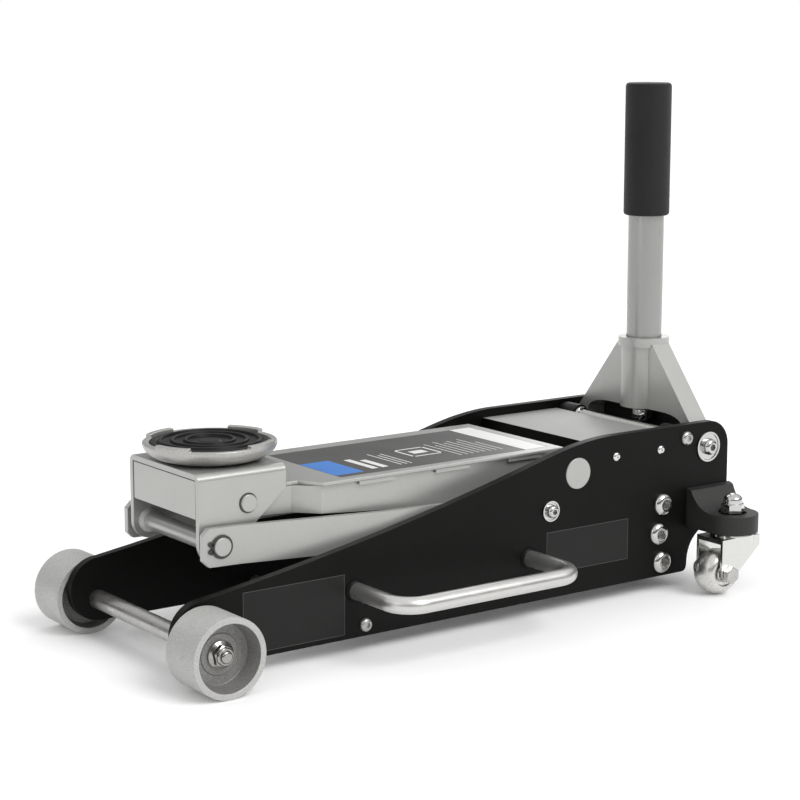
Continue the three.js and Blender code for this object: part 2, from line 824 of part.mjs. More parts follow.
function saddleBracket() {
  const r = bracketBendRadius;
  const side = new THREE.Shape();
  side.moveTo(bracketFrontX, bracketTopZ);
  side.lineTo(bracketFrontX, crossPin.z);
  side.absarc(crossPin.x, crossPin.z, bracketEyeRadius, Math.PI, 1.78 * Math.PI, false);
  side.lineTo(bracketRearX, bracketRearLowZ);
  side.lineTo(bracketRearX, bracketTopZ);
  const channel = new THREE.Shape();
  channel.moveTo(-bracketOuterY, 60);
  channel.lineTo(-bracketInnerY, 60);
  channel.lineTo(-bracketInnerY, bracketTopZ - bracketThickness);
  channel.lineTo(bracketInnerY, bracketTopZ - bracketThickness);
  channel.lineTo(bracketInnerY, 60);
  channel.lineTo(bracketOuterY, 60);
  channel.lineTo(bracketOuterY, bracketTopZ - r);
  channel.absarc(bracketOuterY - r, bracketTopZ - r, r, 0, Math.PI / 2, false);
  channel.absarc(-bracketOuterY + r, bracketTopZ - r, r, Math.PI / 2, Math.PI, false);
  const bent = common(
    plateYZ(channel, bracketFrontX - 1, bracketRearX + 1, 6),
    plateXZ(side, -bracketOuterY - 1, bracketOuterY + 1, 10),
  );
  const across = (place, radius, gap) =>
    barY(
      holeRadius(radius, gap),
      place.x,
      place.z,
      -bracketOuterY - 2,
      bracketOuterY + 2,
      sidesOf(radius),
    );
  return cut(
    bent,
    across(nosePivot, nosePinRadius, runningGap),
    across(crossPin, crossPinRadius, fixedGap),
    barZ(
      holeRadius(saddleStudRadius, runningGap),
      saddleX,
      0,
      bracketTopZ - 2 * bracketThickness,
      bracketTopZ + 1,
      sidesOf(saddleStudRadius),
    ),
  );
}
add("saddle_bracket", saddleBracket(), greyPaint);
add(
  "bracket_front_plate",
  box(
    bracketFrontX + 0.6,
    bracketFrontX + 0.6 + bracketThickness,
    -bracketInnerY,
    bracketInnerY,
    frontPlateLowZ,
    bracketTopZ - bracketThickness,
  ),
  greyPaint,
);
const crossPinHalf = linkFrontInnerY + linkThickness + 3;
add(
  "bracket_cross_pin",
  barY(crossPinRadius, crossPin.x, crossPin.z, -crossPinHalf, crossPinHalf),
  brushedSteel,
);

// ---- saddle ----
function saddleDish() {
  const base = bracketTopZ + faceGap;
  const studEnd = bracketTopZ - bracketThickness - 3;
  const wall = saddleRimRadius - padRadius - 0.6;
  const dish = turnedZ(
    [
      [0, studEnd],
      [saddleStudRadius, studEnd],
      [saddleStudRadius, base],
      [saddleBaseRadius, base],
      [saddleBaseRadius + 10, base + 2.6],
      [saddleRimRadius - 1.5, base + 9.5],
      [saddleRimRadius, base + 12.5],
      [saddleRimRadius, saddleRimZ + saddleToothHeight - 1],
      [saddleRimRadius - 1, saddleRimZ + saddleToothHeight],
      [saddleRimRadius - wall, saddleRimZ + saddleToothHeight],
      [saddleRimRadius - wall, padBottomZ],
      [0, padBottomZ],
    ],
    32,
  );
  // Four low stretches between the four teeth.
  const tools = [];
  for (let i = 0; i < saddleToothCount; i++) {
    const gap = new THREE.Shape();
    const half = (0.3 * Math.PI * 2) / saddleToothCount;
    gap.moveTo(0, 0);
    gap.absarc(0, 0, saddleRimRadius + 5, -half, half, false);
    gap.closePath();
    const low = plateXY(gap, saddleRimZ, saddleRimZ + saddleToothHeight + 1, 4);
    tools.push(low.rotateZ(((i + 0.5) * 2 * Math.PI) / saddleToothCount));
  }
  return cut(dish, ...tools).rotateZ(saddleTurn * degree);
}
add("saddle_dish", saddleDish(), castGrey).position.x = saddleX;
add(
  "saddle_pad",
  turnedZ(
    [
      [0, padBottomZ + 0.05],
      [padRadius, padBottomZ + 0.05],
      [padRadius, padTopZ - 1.5],
      [padRadius - 3, padTopZ],
      [padRadius - 14, padTopZ],
      [padRadius - 16, padTopZ - padGrooveDepth],
      [padRadius - 20, padTopZ - padGrooveDepth],
      [padRadius - 22, padTopZ],
      [0, padTopZ],
    ],
    28,
  ),
  blackRubber,
).position.x = saddleX;

// ---- power unit between the plates ----
const ramBore = ramRadius + ramBoreGap;
const boreEndX = unitBolts[0].x - unitBoltRadius - seatGap * 2;

function pumpBlock() {
  const body = join(
    box(unitFrontX, unitRearX, -plateInnerY, plateInnerY, unitBottomZ, unitTopZ),
    box(unitFrontX + pumpBossSetback, pumpBossRearX, -pumpBossHalf, pumpBossHalf, unitTopZ - 5, pumpBossTopZ),
  );
  return cut(
    body,
    ...unitBolts.map((bolt) =>
      barY(
        holeRadius(unitBoltRadius, fixedGap),
        bolt.x,
        bolt.z,
        -plateOuterY,
        plateOuterY,
        sidesOf(unitBoltRadius),
      ),
    ),
    barX(ramBore, 0, ramZ, unitFrontX - 1, boreEndX),
    barX(
      pumpNeckRadius + seatGap,
      0,
      pumpZ,
      plungerFrontX - handleStroke() - 2,
      pumpBossRearX + 1,
    ),
    barZ(
      holeRadius(valveStemRadius, runningGap),
      valve.x,
      valve.y,
      unitTopZ - 12,
      unitTopZ + 1,
      sidesOf(valveStemRadius),
    ),
  );
}

// How far the plunger is pushed while the handle tips from upright to down.
function handleStroke() {
  const start = rollerLead * degree;
  return rollerCrank * (Math.sin(start) - Math.sin(start - handleDown * degree));
}
add("pump_block", pumpBlock(), blackCasting);

add(
  "ram_cylinder",
  cut(
    join(
      barX(ramBore + cylinderWall, 0, ramZ, glandFrontX + glandLength - 1, unitFrontX),
      barX(glandRadius, 0, ramZ, glandFrontX, glandFrontX + glandLength, 6),
    ),
    barX(ramBore, 0, ramZ, glandFrontX + glandLength, unitFrontX + 1),
    barX(
      holeRadius(ramRadius, runningGap),
      0,
      ramZ,
      glandFrontX - 1,
      glandFrontX + glandLength + 1,
      sidesOf(ramRadius),
    ),
  ),
  darkSteel,
);
add(
  "oil_tank",
  cut(
    barX(tankRadius, 0, ramZ, glandFrontX + glandLength + seatGap, unitFrontX, 32),
    barX(tankRadius - tankWall, 0, ramZ, glandFrontX + glandLength + 4, unitFrontX + 1, 32),
    barX(
      ramBore + cylinderWall + seatGap,
      0,
      ramZ,
      glandFrontX,
      glandFrontX + glandLength + 5,
    ),
  ),
  blackCasting,
);

// ---- ram and its yoke ----
const yokeRearX = slotX + yokeHalfLength;
add("ram_rod", barX(ramRadius, 0, ramZ, yokeRearX, ramRearX), brightSteel);

function ramYoke() {
  const slotHalf = crankPinRadius + Math.abs(crankWander) + faceGap;
  const slotReach = crankRiseHalf + crankPinRadius + faceGap;
  const wall = 8;
  const slot = new THREE.Path();
  slot.moveTo(slotX - slotHalf, ramZ - slotReach + slotHalf);
  slot.lineTo(slotX - slotHalf, ramZ + slotReach - slotHalf);
  slot.absarc(slotX, ramZ + slotReach - slotHalf, slotHalf, Math.PI, 0, true);
  slot.lineTo(slotX + slotHalf, ramZ - slotReach + slotHalf);
  slot.absarc(slotX, ramZ - slotReach + slotHalf, slotHalf, 0, -Math.PI, true);
  const outline = polygon([
    [slotX - yokeHalfLength, ramZ - slotReach - wall + 4],
    [slotX - yokeHalfLength + 4, ramZ - slotReach - wall],
    [yokeRearX, ramZ - slotReach - wall],
    [yokeRearX, ramZ + slotReach + wall],
    [slotX - yokeHalfLength + 4, ramZ + slotReach + wall],
    [slotX - yokeHalfLength, ramZ + slotReach + wall - 4],
  ]);
  outline.holes.push(slot);
  const barHalf = 7;
  const bar = 5;
  return join(
    plateXZ(outline, -yokeHalfWidth, yokeHalfWidth, 6),
    box(
      yokeRearX - bar,
      yokeRearX,
      -yokeBarHalfWidth,
      -yokeHalfWidth + 1,
      ramZ - barHalf,
      ramZ + barHalf,
    ),
    box(
      yokeRearX - bar,
      yokeRearX,
      yokeHalfWidth - 1,
      yokeBarHalfWidth,
      ramZ - barHalf,
      ramZ + barHalf,
    ),
  );
}
add("ram_yoke", ramYoke(), darkSteel);

function returnSpring() {
  const start = yokeRearX + seatGap;
  const length = unitFrontX - seatGap - start;
  return coil(springRadius, springWire, length, 7)
    .rotateY(Math.PI / 2)
    .translate(start, -springY, ramZ);
}
addPair("return_spring", returnSpring(), springSteel);

// ---- unit cover: a bent sheet ----
function unitCover() {
  const edgeY = plateInnerY - seatGap;
  const top = unitCoverTopZ;
  const sheet = unitCoverSheet;
  const low = top - unitCoverSkirt;
  return join(
    box(unitCoverFrontX, unitCoverRearX, -edgeY, edgeY, top - sheet, top),
    box(unitCoverFrontX, unitCoverRearX, -edgeY, -edgeY + sheet, low, top - sheet / 2),
    box(unitCoverFrontX, unitCoverRearX, edgeY - sheet, edgeY, low, top - sheet / 2),
    box(unitCoverFrontX, unitCoverFrontX + sheet, -edgeY, edgeY, low + 4, top - sheet / 2),
  );
}
add("unit_cover", unitCover(), greyPaint);

// ---- handle socket ----
function handleSocket() {
  const slope = (socketWideHalf - socketTopHalf) / (socketShoulderZ - socketWideZ);
  const flangeTopZ = socketWideZ - (socketOuterY - socketWideHalf) / slope;
  const low = socketPivot.z - flangeEyeRadius - 1;
  const outline = new THREE.Shape();
  outline.moveTo(-socketOuterY, low);
  outline.lineTo(-flangeInnerY, low);
  outline.lineTo(-flangeInnerY, socketPivot.z + leverRadius + 4);
  outline.bezierCurveTo(
    -flangeInnerY,
    archTopZ - 3,
    -archHalf - 8,
    archTopZ,
    -archHalf + 6,
    archTopZ,
  );
  outline.lineTo(archHalf - 6, archTopZ);
  outline.bezierCurveTo(
    archHalf + 8,
    archTopZ,
    flangeInnerY,
    archTopZ - 3,
    flangeInnerY,
    socketPivot.z + leverRadius + 4,
  );
  outline.lineTo(flangeInnerY, low);
  outline.lineTo(socketOuterY, low);
  outline.lineTo(socketOuterY, flangeTopZ);
  outline.lineTo(socketTopHalf, socketShoulderZ);
  outline.lineTo(-socketTopHalf, socketShoulderZ);
  outline.lineTo(-socketOuterY, flangeTopZ);
  const half = socketDepth / 2;
  const x = socketPivot.x;
  const side = join(
    box(x - half, x + half, -socketOuterY - 1, socketOuterY + 1, socketPivot.z, collarTopZ),
    barY(flangeEyeRadius, x, socketPivot.z, -socketOuterY - 1, socketOuterY + 1),
  );
  const web = common(plateYZ(outline, x - 20, x + 20, 6), side);
  const tube = barZ(socketTubeRadius, x, 0, archTopZ, collarTopZ - 1);
  const collar = barZ(collarRadius, x, 0, collarTopZ - collarHeight, collarTopZ);
  return cut(
    join(web, tube, collar),
    barZ(
      holeRadius(handleRadius, runningGap),
      x,
      0,
      handleBottomZ - seatGap,
      collarTopZ + 1,
      sidesOf(handleRadius),
    ),
    barZ(
      holeRadius(spindleRadius, runningGap),
      x,
      0,
      archTopZ - 1,
      handleBottomZ + 1,
      sidesOf(spindleRadius),
    ),
    barY(
      holeRadius(socketBoltRadius, runningGap),
      x,
      socketPivot.z,
      -socketOuterY - 2,
      socketOuterY + 2,
      sidesOf(socketBoltRadius),
    ),
  );
}
add("handle_socket", handleSocket(), greyPaint);

// ---- pump lever, roller, pump ----
const roller = {
  x: socketPivot.x + rollerCrank * Math.sin(rollerLead * degree),
  z: socketPivot.z - rollerCrank * Math.cos(rollerLead * degree),
};
const earInnerY = rollerHalfWidth + faceGap;
const earOuterY = earInnerY + leverEarThickness;

function pumpLever() {
  const ear = strap(socketPivot, leverRadius, roller, leverEarRadius);
  return cut(
    join(
      barY(
        leverRadius,
        socketPivot.x,
        socketPivot.z,
        -flangeInnerY + seatGap,
        flangeInnerY - seatGap,
      ),
      plateXZ(ear, -earOuterY, -earInnerY, 4),
      plateXZ(ear, earInnerY, earOuterY, 4),
    ),
    barY(rollerRadius + faceGap, roller.x, roller.z, -earInnerY, earInnerY, 24),
  );
}
// The roller's pin is riveted into the lever's ears and is one piece with it.
const rollerPin = barY(
  rollerPinRadius,
  roller.x,
  roller.z,
  -earOuterY - 1.5,
  earOuterY + 1.5,
);
add("pump_lever", join(pumpLever(), rollerPin), blackCasting);
add(
  "pump_roller",
  cut(
    barY(rollerRadius, roller.x, roller.z, -rollerHalfWidth, rollerHalfWidth, 24),
    barY(
      holeRadius(rollerPinRadius, runningGap),
      roller.x,
      roller.z,
      -earInnerY,
      earInnerY,
      sidesOf(rollerPinRadius),
    ),
  ),
  brushedSteel,
);

// The plunger moves evenly with the handle, so the roller runs a little ahead of it at times.
const strokeSlope = handleStroke() / (handleDown * degree);
const slackAngle = Math.acos(strokeSlope / rollerCrank);
const rollerLag = strokeSlope * slackAngle - rollerCrank * Math.sin(slackAngle);
const plungerRearX = roller.x - rollerRadius - Math.abs(rollerLag) - faceGap;
add(
  "pump_plunger",
  turnedX(
    [
      [0, plungerFrontX],
      [plungerRadius, plungerFrontX],
      [plungerRadius, plungerRearX - plungerHeadLength],
      [plungerHeadRadius, plungerRearX - plungerHeadLength],
      [plungerHeadRadius, plungerRearX - 1],
      [plungerHeadRadius - 1, plungerRearX],
      [0, plungerRearX],
    ],
    sidesOf(plungerRadius),
  ).translate(0, 0, pumpZ),
  brightSteel,
);
add(
  "pump_neck",
  cut(
    join(
      barX(pumpNeckRadius, 0, pumpZ, pumpFlangeX - 8, pumpNeckRearX),
      barX(
        plungerHeadRadius + 1,
        0,
        pumpZ,
        pumpBossRearX + seatGap,
        pumpBossRearX + 3,
        6,
      ),
    ),
    barX(
      holeRadius(plungerRadius, runningGap),
      0,
      pumpZ,
      pumpFlangeX - 12,
      pumpNeckRearX + 1,
      sidesOf(plungerRadius),
    ),
  ),
  brushedSteel,
);

function pumpSpring() {
  const start = pumpBossRearX + 3 + seatGap;
  const length = plungerRearX - plungerHeadLength - seatGap - start;
  const radius = pumpNeckRadius + seatGap + 0.3 + pumpSpringWire / 2;
  return coil(radius, pumpSpringWire, length, 6)
    .rotateY(Math.PI / 2)
    .translate(start, 0, pumpZ);
}
add("pump_spring", pumpSpring(), springSteel);

add(
  "release_valve",
  join(
    barZ(valveStemRadius, valve.x, valve.y, unitTopZ - 10, unitTopZ + 2),
    barZ(valveRadius, valve.x, valve.y, unitTopZ + faceGap, unitTopZ + valveHeight, 6),
  ),
  brightSteel,
);

// ---- operating handle ----
const handleX = socketPivot.x;
const spigotRadius = handleRadius - handleWall - fixedGap;
const spigotTopZ = handleBottomZ + 16;
add(
  "handle_tube",
  turnedZ(
    [
      [handleRadius - handleWall, handleBottomZ],
      [handleRadius, handleBottomZ],
      [handleRadius, handleTopZ - gripCapThickness - seatGap],
      [handleRadius - handleWall, handleTopZ - gripCapThickness - seatGap],
      [handleRadius - handleWall, handleBottomZ],
    ],
    sidesOf(handleRadius),
  ),
  brushedSteel,
).position.x = handleX;
const gripBore = holeRadius(handleRadius, fixedGap);
add(
  "handle_grip",
  turnedZ(
    [
      [gripBore, gripBottomZ],
      [gripRadius - 1, gripBottomZ],
      [gripRadius, gripBottomZ + 1],
      [gripRadius, handleTopZ - 2],
      [gripRadius - 2, handleTopZ],
      [0, handleTopZ],
      [0, handleTopZ - gripCapThickness],
      [gripBore, handleTopZ - gripCapThickness],
      [gripBore, gripBottomZ],
    ],
    sidesOf(handleRadius),
  ),
  blackFoam,
).position.x = handleX;
add(
  "release_spindle",
  turnedZ(
    [
      [0, spindleBottomZ],
      [spindleHeadRadius - 3, spindleBottomZ],
      [spindleHeadRadius, spindleBottomZ + 3],
      [spindleHeadRadius, archTopZ - 3],
      [spindleHeadRadius - 1.5, archTopZ - faceGap],
      [spindleRadius, archTopZ - faceGap],
      [spindleRadius, handleBottomZ + 0.5],
      [spigotRadius * 0.98, handleBottomZ + 0.5],
      [spigotRadius * 0.98, spigotTopZ],
      [0, spigotTopZ],
    ],
    sidesOf(spindleRadius),
  ),
  brightSteel,
).position.x = handleX;

// ---- casters ----
function casterBracket() {
  // The arm of the bracket sweeps down from the plate to the flat lug.
  const rootY = -plateOuterY;
  const lug = new THREE.Shape();
  lug.moveTo(casterRootFrontX, rootY);
  lug.lineTo(casterRootFrontX, -caster.y);
  const edge = caster.x - casterRootFrontX;
  lug.absarc(caster.x, -caster.y, edge, Math.PI, 2 * Math.PI, false);
  lug.lineTo(casterRootRearX, rootY);
  const sweep = new THREE.Shape();
  sweep.moveTo(rootY, casterLugBottomZ);
  sweep.lineTo(rootY, casterRootTopZ);
  sweep.lineTo(rootY - 6, casterRootTopZ - 1.5);
  sweep.quadraticCurveTo(rootY - 14, casterLugTopZ + 1, rootY - 30, casterLugTopZ);
  sweep.lineTo(-caster.y - casterLugRadius - 5, casterLugTopZ);
  sweep.lineTo(-caster.y - casterLugRadius - 5, casterLugBottomZ);
  const x0 = casterRootFrontX - 5;
  return cut(
    common(
      plateXY(lug, casterLugBottomZ, casterRootTopZ, 12),
      plateYZ(sweep, x0, casterRootRearX + 5, 8),
    ),
    barZ(
      casterNutRecess,
      caster.x,
      -caster.y,
      casterLugTopZ - casterNutDepth,
      casterRootTopZ + 1,
      28,
    ),
    barZ(
      holeRadius(casterPinRadius, fixedGap),
      caster.x,
      -caster.y,
      casterLugBottomZ - 1,
      casterLugTopZ + 1,
      sidesOf(casterPinRadius),
    ),
  );
}
addPair("caster_bracket", casterBracket(), blackCasting);

const casterWheelX = caster.x - casterTrail;
const forkInner = casterWheelWidth / 2 + casterForkGap;
const forkOuter = forkInner + casterForkThickness;

function casterFork() {
  const top = casterForkTopZ;
  const under = top - casterForkPlate;
  const leg = new THREE.Shape();
  leg.moveTo(caster.x + casterForkRadius * 0.93, top - 1);
  leg.lineTo(caster.x + casterForkRadius * 0.93, under - 5);
  leg.lineTo(casterWheelX + casterForkFoot, casterWheelRadius - 2);
  leg.absarc(casterWheelX, casterWheelRadius, casterForkFoot, -0.2, -Math.PI, true);
  leg.lineTo(casterWheelX - casterForkFoot, under - 2);
  leg.lineTo(casterWheelX - casterForkFoot, top - 1);
  const y = -caster.y;
  const disc = barZ(casterForkRadius, caster.x, y, under, top);
  const bridge = box(
    casterWheelX - casterForkFoot,
    caster.x,
    y - forkOuter,
    y + forkOuter,
    under,
    top - 1,
  );
  return cut(
    join(
      disc,
      bridge,
      plateXZ(leg, y - forkOuter, y - forkInner, 4),
      plateXZ(leg, y + forkInner, y + forkOuter, 4),
    ),
    barZ(
      holeRadius(casterPinRadius, runningGap),
      caster.x,
      y,
      under - 1,
      top + 1,
      sidesOf(casterPinRadius),
    ),
    barY(
      holeRadius(casterAxleRadius, fixedGap),
      casterWheelX,
      casterWheelRadius,
      y - forkOuter - 1,
      y + forkOuter + 1,
      sidesOf(casterAxleRadius),
    ),
  );
}
addPair("caster_fork", casterFork(), brightSteel);

function casterKingpin() {
  const seat = casterLugTopZ - casterNutDepth + 0.05;
  const hexTop = seat + acornHexHeight;
  const under = casterForkTopZ - casterForkPlate - faceGap;
  const dome = [];
  for (let i = 0; i <= 5; i++) {
    const angle = (i / 5) * (Math.PI / 2);
    dome.push([acornDomeRadius * Math.cos(angle), hexTop + acornDomeRadius * Math.sin(angle)]);
  }
  const profile = [
    [0, under - 2.5],
    [casterPinRadius + 3.5, under - 2.5],
    [casterPinRadius + 3.5, under],
    [casterPinRadius, under],
    [casterPinRadius, seat],
    [acornDomeRadius, seat],
    ...dome.slice(0, 5),
    [0, dome[5][1]],
  ];
  return join(
    turnedZ(profile, 16),
    new THREE.CylinderGeometry(acornHexRadius, acornHexRadius, acornHexHeight, 6)
      .rotateX(Math.PI / 2)
      .translate(0, 0, (seat + hexTop) / 2),
  ).translate(caster.x, -caster.y, 0);
}
addPair("caster_kingpin", casterKingpin(), brightSteel);

function casterWheel() {
  const half = casterWheelWidth / 2;
  const bore = holeRadius(casterAxleRadius, runningGap);
  return turnedY(
    [
      [bore, -half],
      [casterWheelSide, -half],
      [casterWheelRadius - casterWheelCrown, -half * 0.62],
      [casterWheelRadius, 0],
      [casterWheelRadius - casterWheelCrown, half * 0.62],
      [casterWheelSide, half],
      [bore, half],
      [bore, -half],
    ],
    2 * sidesOf(casterAxleRadius),
  ).translate(casterWheelX, -caster.y, casterWheelRadius);
}
addPair("caster_wheel", casterWheel(), brightSteel);

function casterAxle() {
  const y = -caster.y;
  const outer = forkOuter + seatGap;
  return join(
    barY(
      casterAxleRadius,
      casterWheelX,
      casterWheelRadius,
      y - outer - 1,
      y + outer + casterAxleHeadHeight,
    ),
    barY(
      casterAxleHeadRadius,
      casterWheelX,
      casterWheelRadius,
      y - outer - casterAxleHeadHeight,
      y - outer,
      6,
    ),
    barY(
      casterAxleHeadRadius,
      casterWheelX,
      casterWheelRadius,
      y + outer,
      y + outer + casterAxleHeadHeight - 1,
      6,
    ),
  );
}
addPair("caster_axle", casterAxle(), brightSteel);

// ---- the origin goes under the middle of the jack ----
const frontX = -frontWheelRadius;
const rearX = Math.max(plateRearX, casterRootRearX);
jack.position.x = -(frontX + rearX) / 2;
jack.updateMatrixWorld(true);

export default jack;
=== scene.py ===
# Low-profile floor jack: bevelled pieces with painted, plated and rubber finishes round the CAD frame.
import math

import bpy
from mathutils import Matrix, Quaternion, Vector


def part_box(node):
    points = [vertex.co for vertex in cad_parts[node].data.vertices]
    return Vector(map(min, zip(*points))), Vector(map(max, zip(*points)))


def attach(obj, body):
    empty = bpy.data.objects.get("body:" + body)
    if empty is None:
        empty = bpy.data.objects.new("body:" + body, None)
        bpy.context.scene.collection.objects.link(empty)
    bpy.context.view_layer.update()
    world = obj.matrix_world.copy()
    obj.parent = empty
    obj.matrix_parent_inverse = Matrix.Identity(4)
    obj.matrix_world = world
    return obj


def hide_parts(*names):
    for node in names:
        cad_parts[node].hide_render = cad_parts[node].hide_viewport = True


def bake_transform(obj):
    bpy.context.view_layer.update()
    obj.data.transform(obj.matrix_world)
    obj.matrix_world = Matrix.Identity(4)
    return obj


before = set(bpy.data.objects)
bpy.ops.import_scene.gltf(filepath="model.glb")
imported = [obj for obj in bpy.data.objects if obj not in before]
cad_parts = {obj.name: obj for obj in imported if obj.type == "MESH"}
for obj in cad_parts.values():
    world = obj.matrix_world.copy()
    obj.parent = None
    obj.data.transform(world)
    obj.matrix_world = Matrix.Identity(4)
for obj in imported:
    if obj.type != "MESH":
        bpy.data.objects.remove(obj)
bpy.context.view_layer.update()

mm = 0.001
sides = {"left": -1, "right": 1}  # the left side is -Y, the side that the camera sees


def middleOf(node):
    low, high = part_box(node)
    return (low + high) / 2


# Small modelling tools
def deselectAll():
    if bpy.context.mode != "OBJECT":
        bpy.ops.object.mode_set(mode="OBJECT")
    bpy.ops.object.select_all(action="DESELECT")


def workOn(piece, mode="OBJECT"):
    deselectAll()
    piece.select_set(True)
    bpy.context.view_layer.objects.active = piece
    if mode == "EDIT":
        bpy.ops.object.mode_set(mode="EDIT")


def settle(piece):
    workOn(piece)
    bpy.ops.object.transform_apply(location=True, rotation=True, scale=True)
    return piece


def useModifier(piece, kind, **settings):
    modifier = piece.modifiers.new(kind.title(), kind)
    for key, value in settings.items():
        setattr(modifier, key, value)
    workOn(piece)
    bpy.ops.object.modifier_apply(modifier=modifier.name)
    return piece


def facesOut(piece, merge=0.002 * mm):
    workOn(piece, "EDIT")
    bpy.ops.mesh.select_all(action="SELECT")
    bpy.ops.mesh.remove_doubles(threshold=merge)
    bpy.ops.mesh.normals_make_consistent(inside=False)
    bpy.ops.object.mode_set(mode="OBJECT")
    return piece


def rounded(piece, width, segments=2, angle=28):
    limit = math.radians(angle)
    return useModifier(
        piece, "BEVEL", width=width, segments=segments, limit_method="ANGLE", angle_limit=limit,
    )


def placed(piece, place, direction=(0, 0, 1), spin=0.0):
    piece.rotation_mode = "QUATERNION"
    turn = Vector((0, 0, 1)).rotation_difference(Vector(direction))
    piece.rotation_quaternion = turn @ Quaternion((0, 0, 1), spin)
    piece.location = place
    return settle(piece)


# A turned piece: rings of (radius, distance along the axis) from one end to the other.
# Where the last ring is the first one again, the piece is a tube.
def turned(name, rings, place, direction=(0, 0, 1), count=56, spin=0.0):
    deselectAll()
    isTube = rings[0] == rings[-1]
    radius, along = rings[0]
    bpy.ops.mesh.primitive_circle_add(
        vertices=count, radius=radius, location=(0, 0, along), fill_type="NOTHING" if isTube else "NGON",
    )
    piece = bpy.context.object
    piece.name = name
    bpy.ops.object.mode_set(mode="EDIT")
    for nextRadius, nextAlong in rings[1:]:
        bpy.ops.mesh.extrude_region_move(TRANSFORM_OT_translate={"value": (0, 0, nextAlong - along)})
        if nextRadius != radius:
            grow = nextRadius / radius
            bpy.ops.transform.resize(value=(grow, grow, 1), center_override=(0, 0, nextAlong))
        radius, along = nextRadius, nextAlong
    bpy.ops.object.mode_set(mode="OBJECT")
    settle(piece)
    facesOut(piece)
    return placed(piece, place, direction, spin)


def booled(piece, tool, operation="DIFFERENCE"):
    useModifier(piece, "BOOLEAN", object=tool, operation=operation, solver="EXACT")
    bpy.data.objects.remove(tool, do_unlink=True)
    return piece


def joined(first, *others):
    workOn(first)
    for other in others:
        other.select_set(True)
    bpy.ops.object.join()
    return bpy.context.object


# A hexagon nut or bolt head: a six-sided bar whose corners a turned cone has taken off.
def hexHead(name, corner, height, place, direction):
    flat = corner * math.cos(math.pi / 6)
    prism = turned(name, [(corner, 0.0), (corner, height)], (0, 0, 0), count=6)
    slopeHeight = (corner * 1.01 - flat * 0.96) * math.tan(math.radians(30))
    cone = turned(name + "Cone", [
        (corner * 1.01, 0.0), (corner * 1.01, height - slopeHeight), (flat * 0.96, height),
    ], (0, 0, 0), count=72)
    booled(prism, cone, "INTERSECT")
    return placed(prism, place, direction)


# Smooths a piece, gives it its finish and hands it to the body that it moves with.
def finished(piece, name, body, slot, material, *nodes, smooth=34):
    workOn(piece)
    bpy.ops.object.shade_smooth_by_angle(angle=math.radians(smooth))
    piece.name = name
    piece.data.name = name
    piece.data.materials.clear()
    piece.data.materials.append(material)
    useModifier(piece, "WEIGHTED_NORMAL", keep_sharp=True, weight=50)
    if body:
        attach(piece, body)
    if nodes:
        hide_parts(*nodes)
    return piece


# A copy of a CAD solid, with its loose triangles merged into clean flat faces.
def copyOf(node):
    piece = bpy.data.objects.new(node + "Copy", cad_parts[node].data.copy())
    bpy.context.scene.collection.objects.link(piece)
    workOn(piece)
    bpy.ops.mesh.customdata_custom_splitnormals_clear()
    bpy.ops.object.mode_set(mode="EDIT")
    bpy.ops.mesh.select_all(action="SELECT")
    bpy.ops.mesh.remove_doubles(threshold=0.004 * mm)
    bpy.ops.mesh.dissolve_limited(angle_limit=math.radians(0.6))
    bpy.ops.object.mode_set(mode="OBJECT")
    return piece


foldLength = 12 * mm


# Keeps the fold lines of a bent bar crisp: upright edges between two long flat faces.
def keepFolds(piece):
    workOn(piece)
    for edge in piece.data.edges:
        start, end = (piece.data.vertices[index].co for index in edge.vertices)
        isUpright = abs(end.z - start.z) > 0.95 * (end - start).length
        edge.use_edge_sharp = isUpright and (end - start).length > foldLength
    return piece


# Shared surface effects, as node groups
def newGroup(name, inputs, outputs):
    group = bpy.data.node_groups.new(name, "ShaderNodeTree")
    for socketName, kind, value in inputs:
        socket = group.interface.new_socket(name=socketName, in_out="INPUT", socket_type=kind)
        socket.default_value = value
    for socketName, kind in outputs:
        group.interface.new_socket(name=socketName, in_out="OUTPUT", socket_type=kind)
    start = group.nodes.new("NodeGroupInput")
    end = group.nodes.new("NodeGroupOutput")
    return group, start, end


def addNode(tree, kind, **values):
    node = tree.nodes.new(kind)
    for key, value in values.items():
        if hasattr(node, key):
            setattr(node, key, value)
        else:
            node.inputs[key.replace("_", " ")].default_value = value
    return node


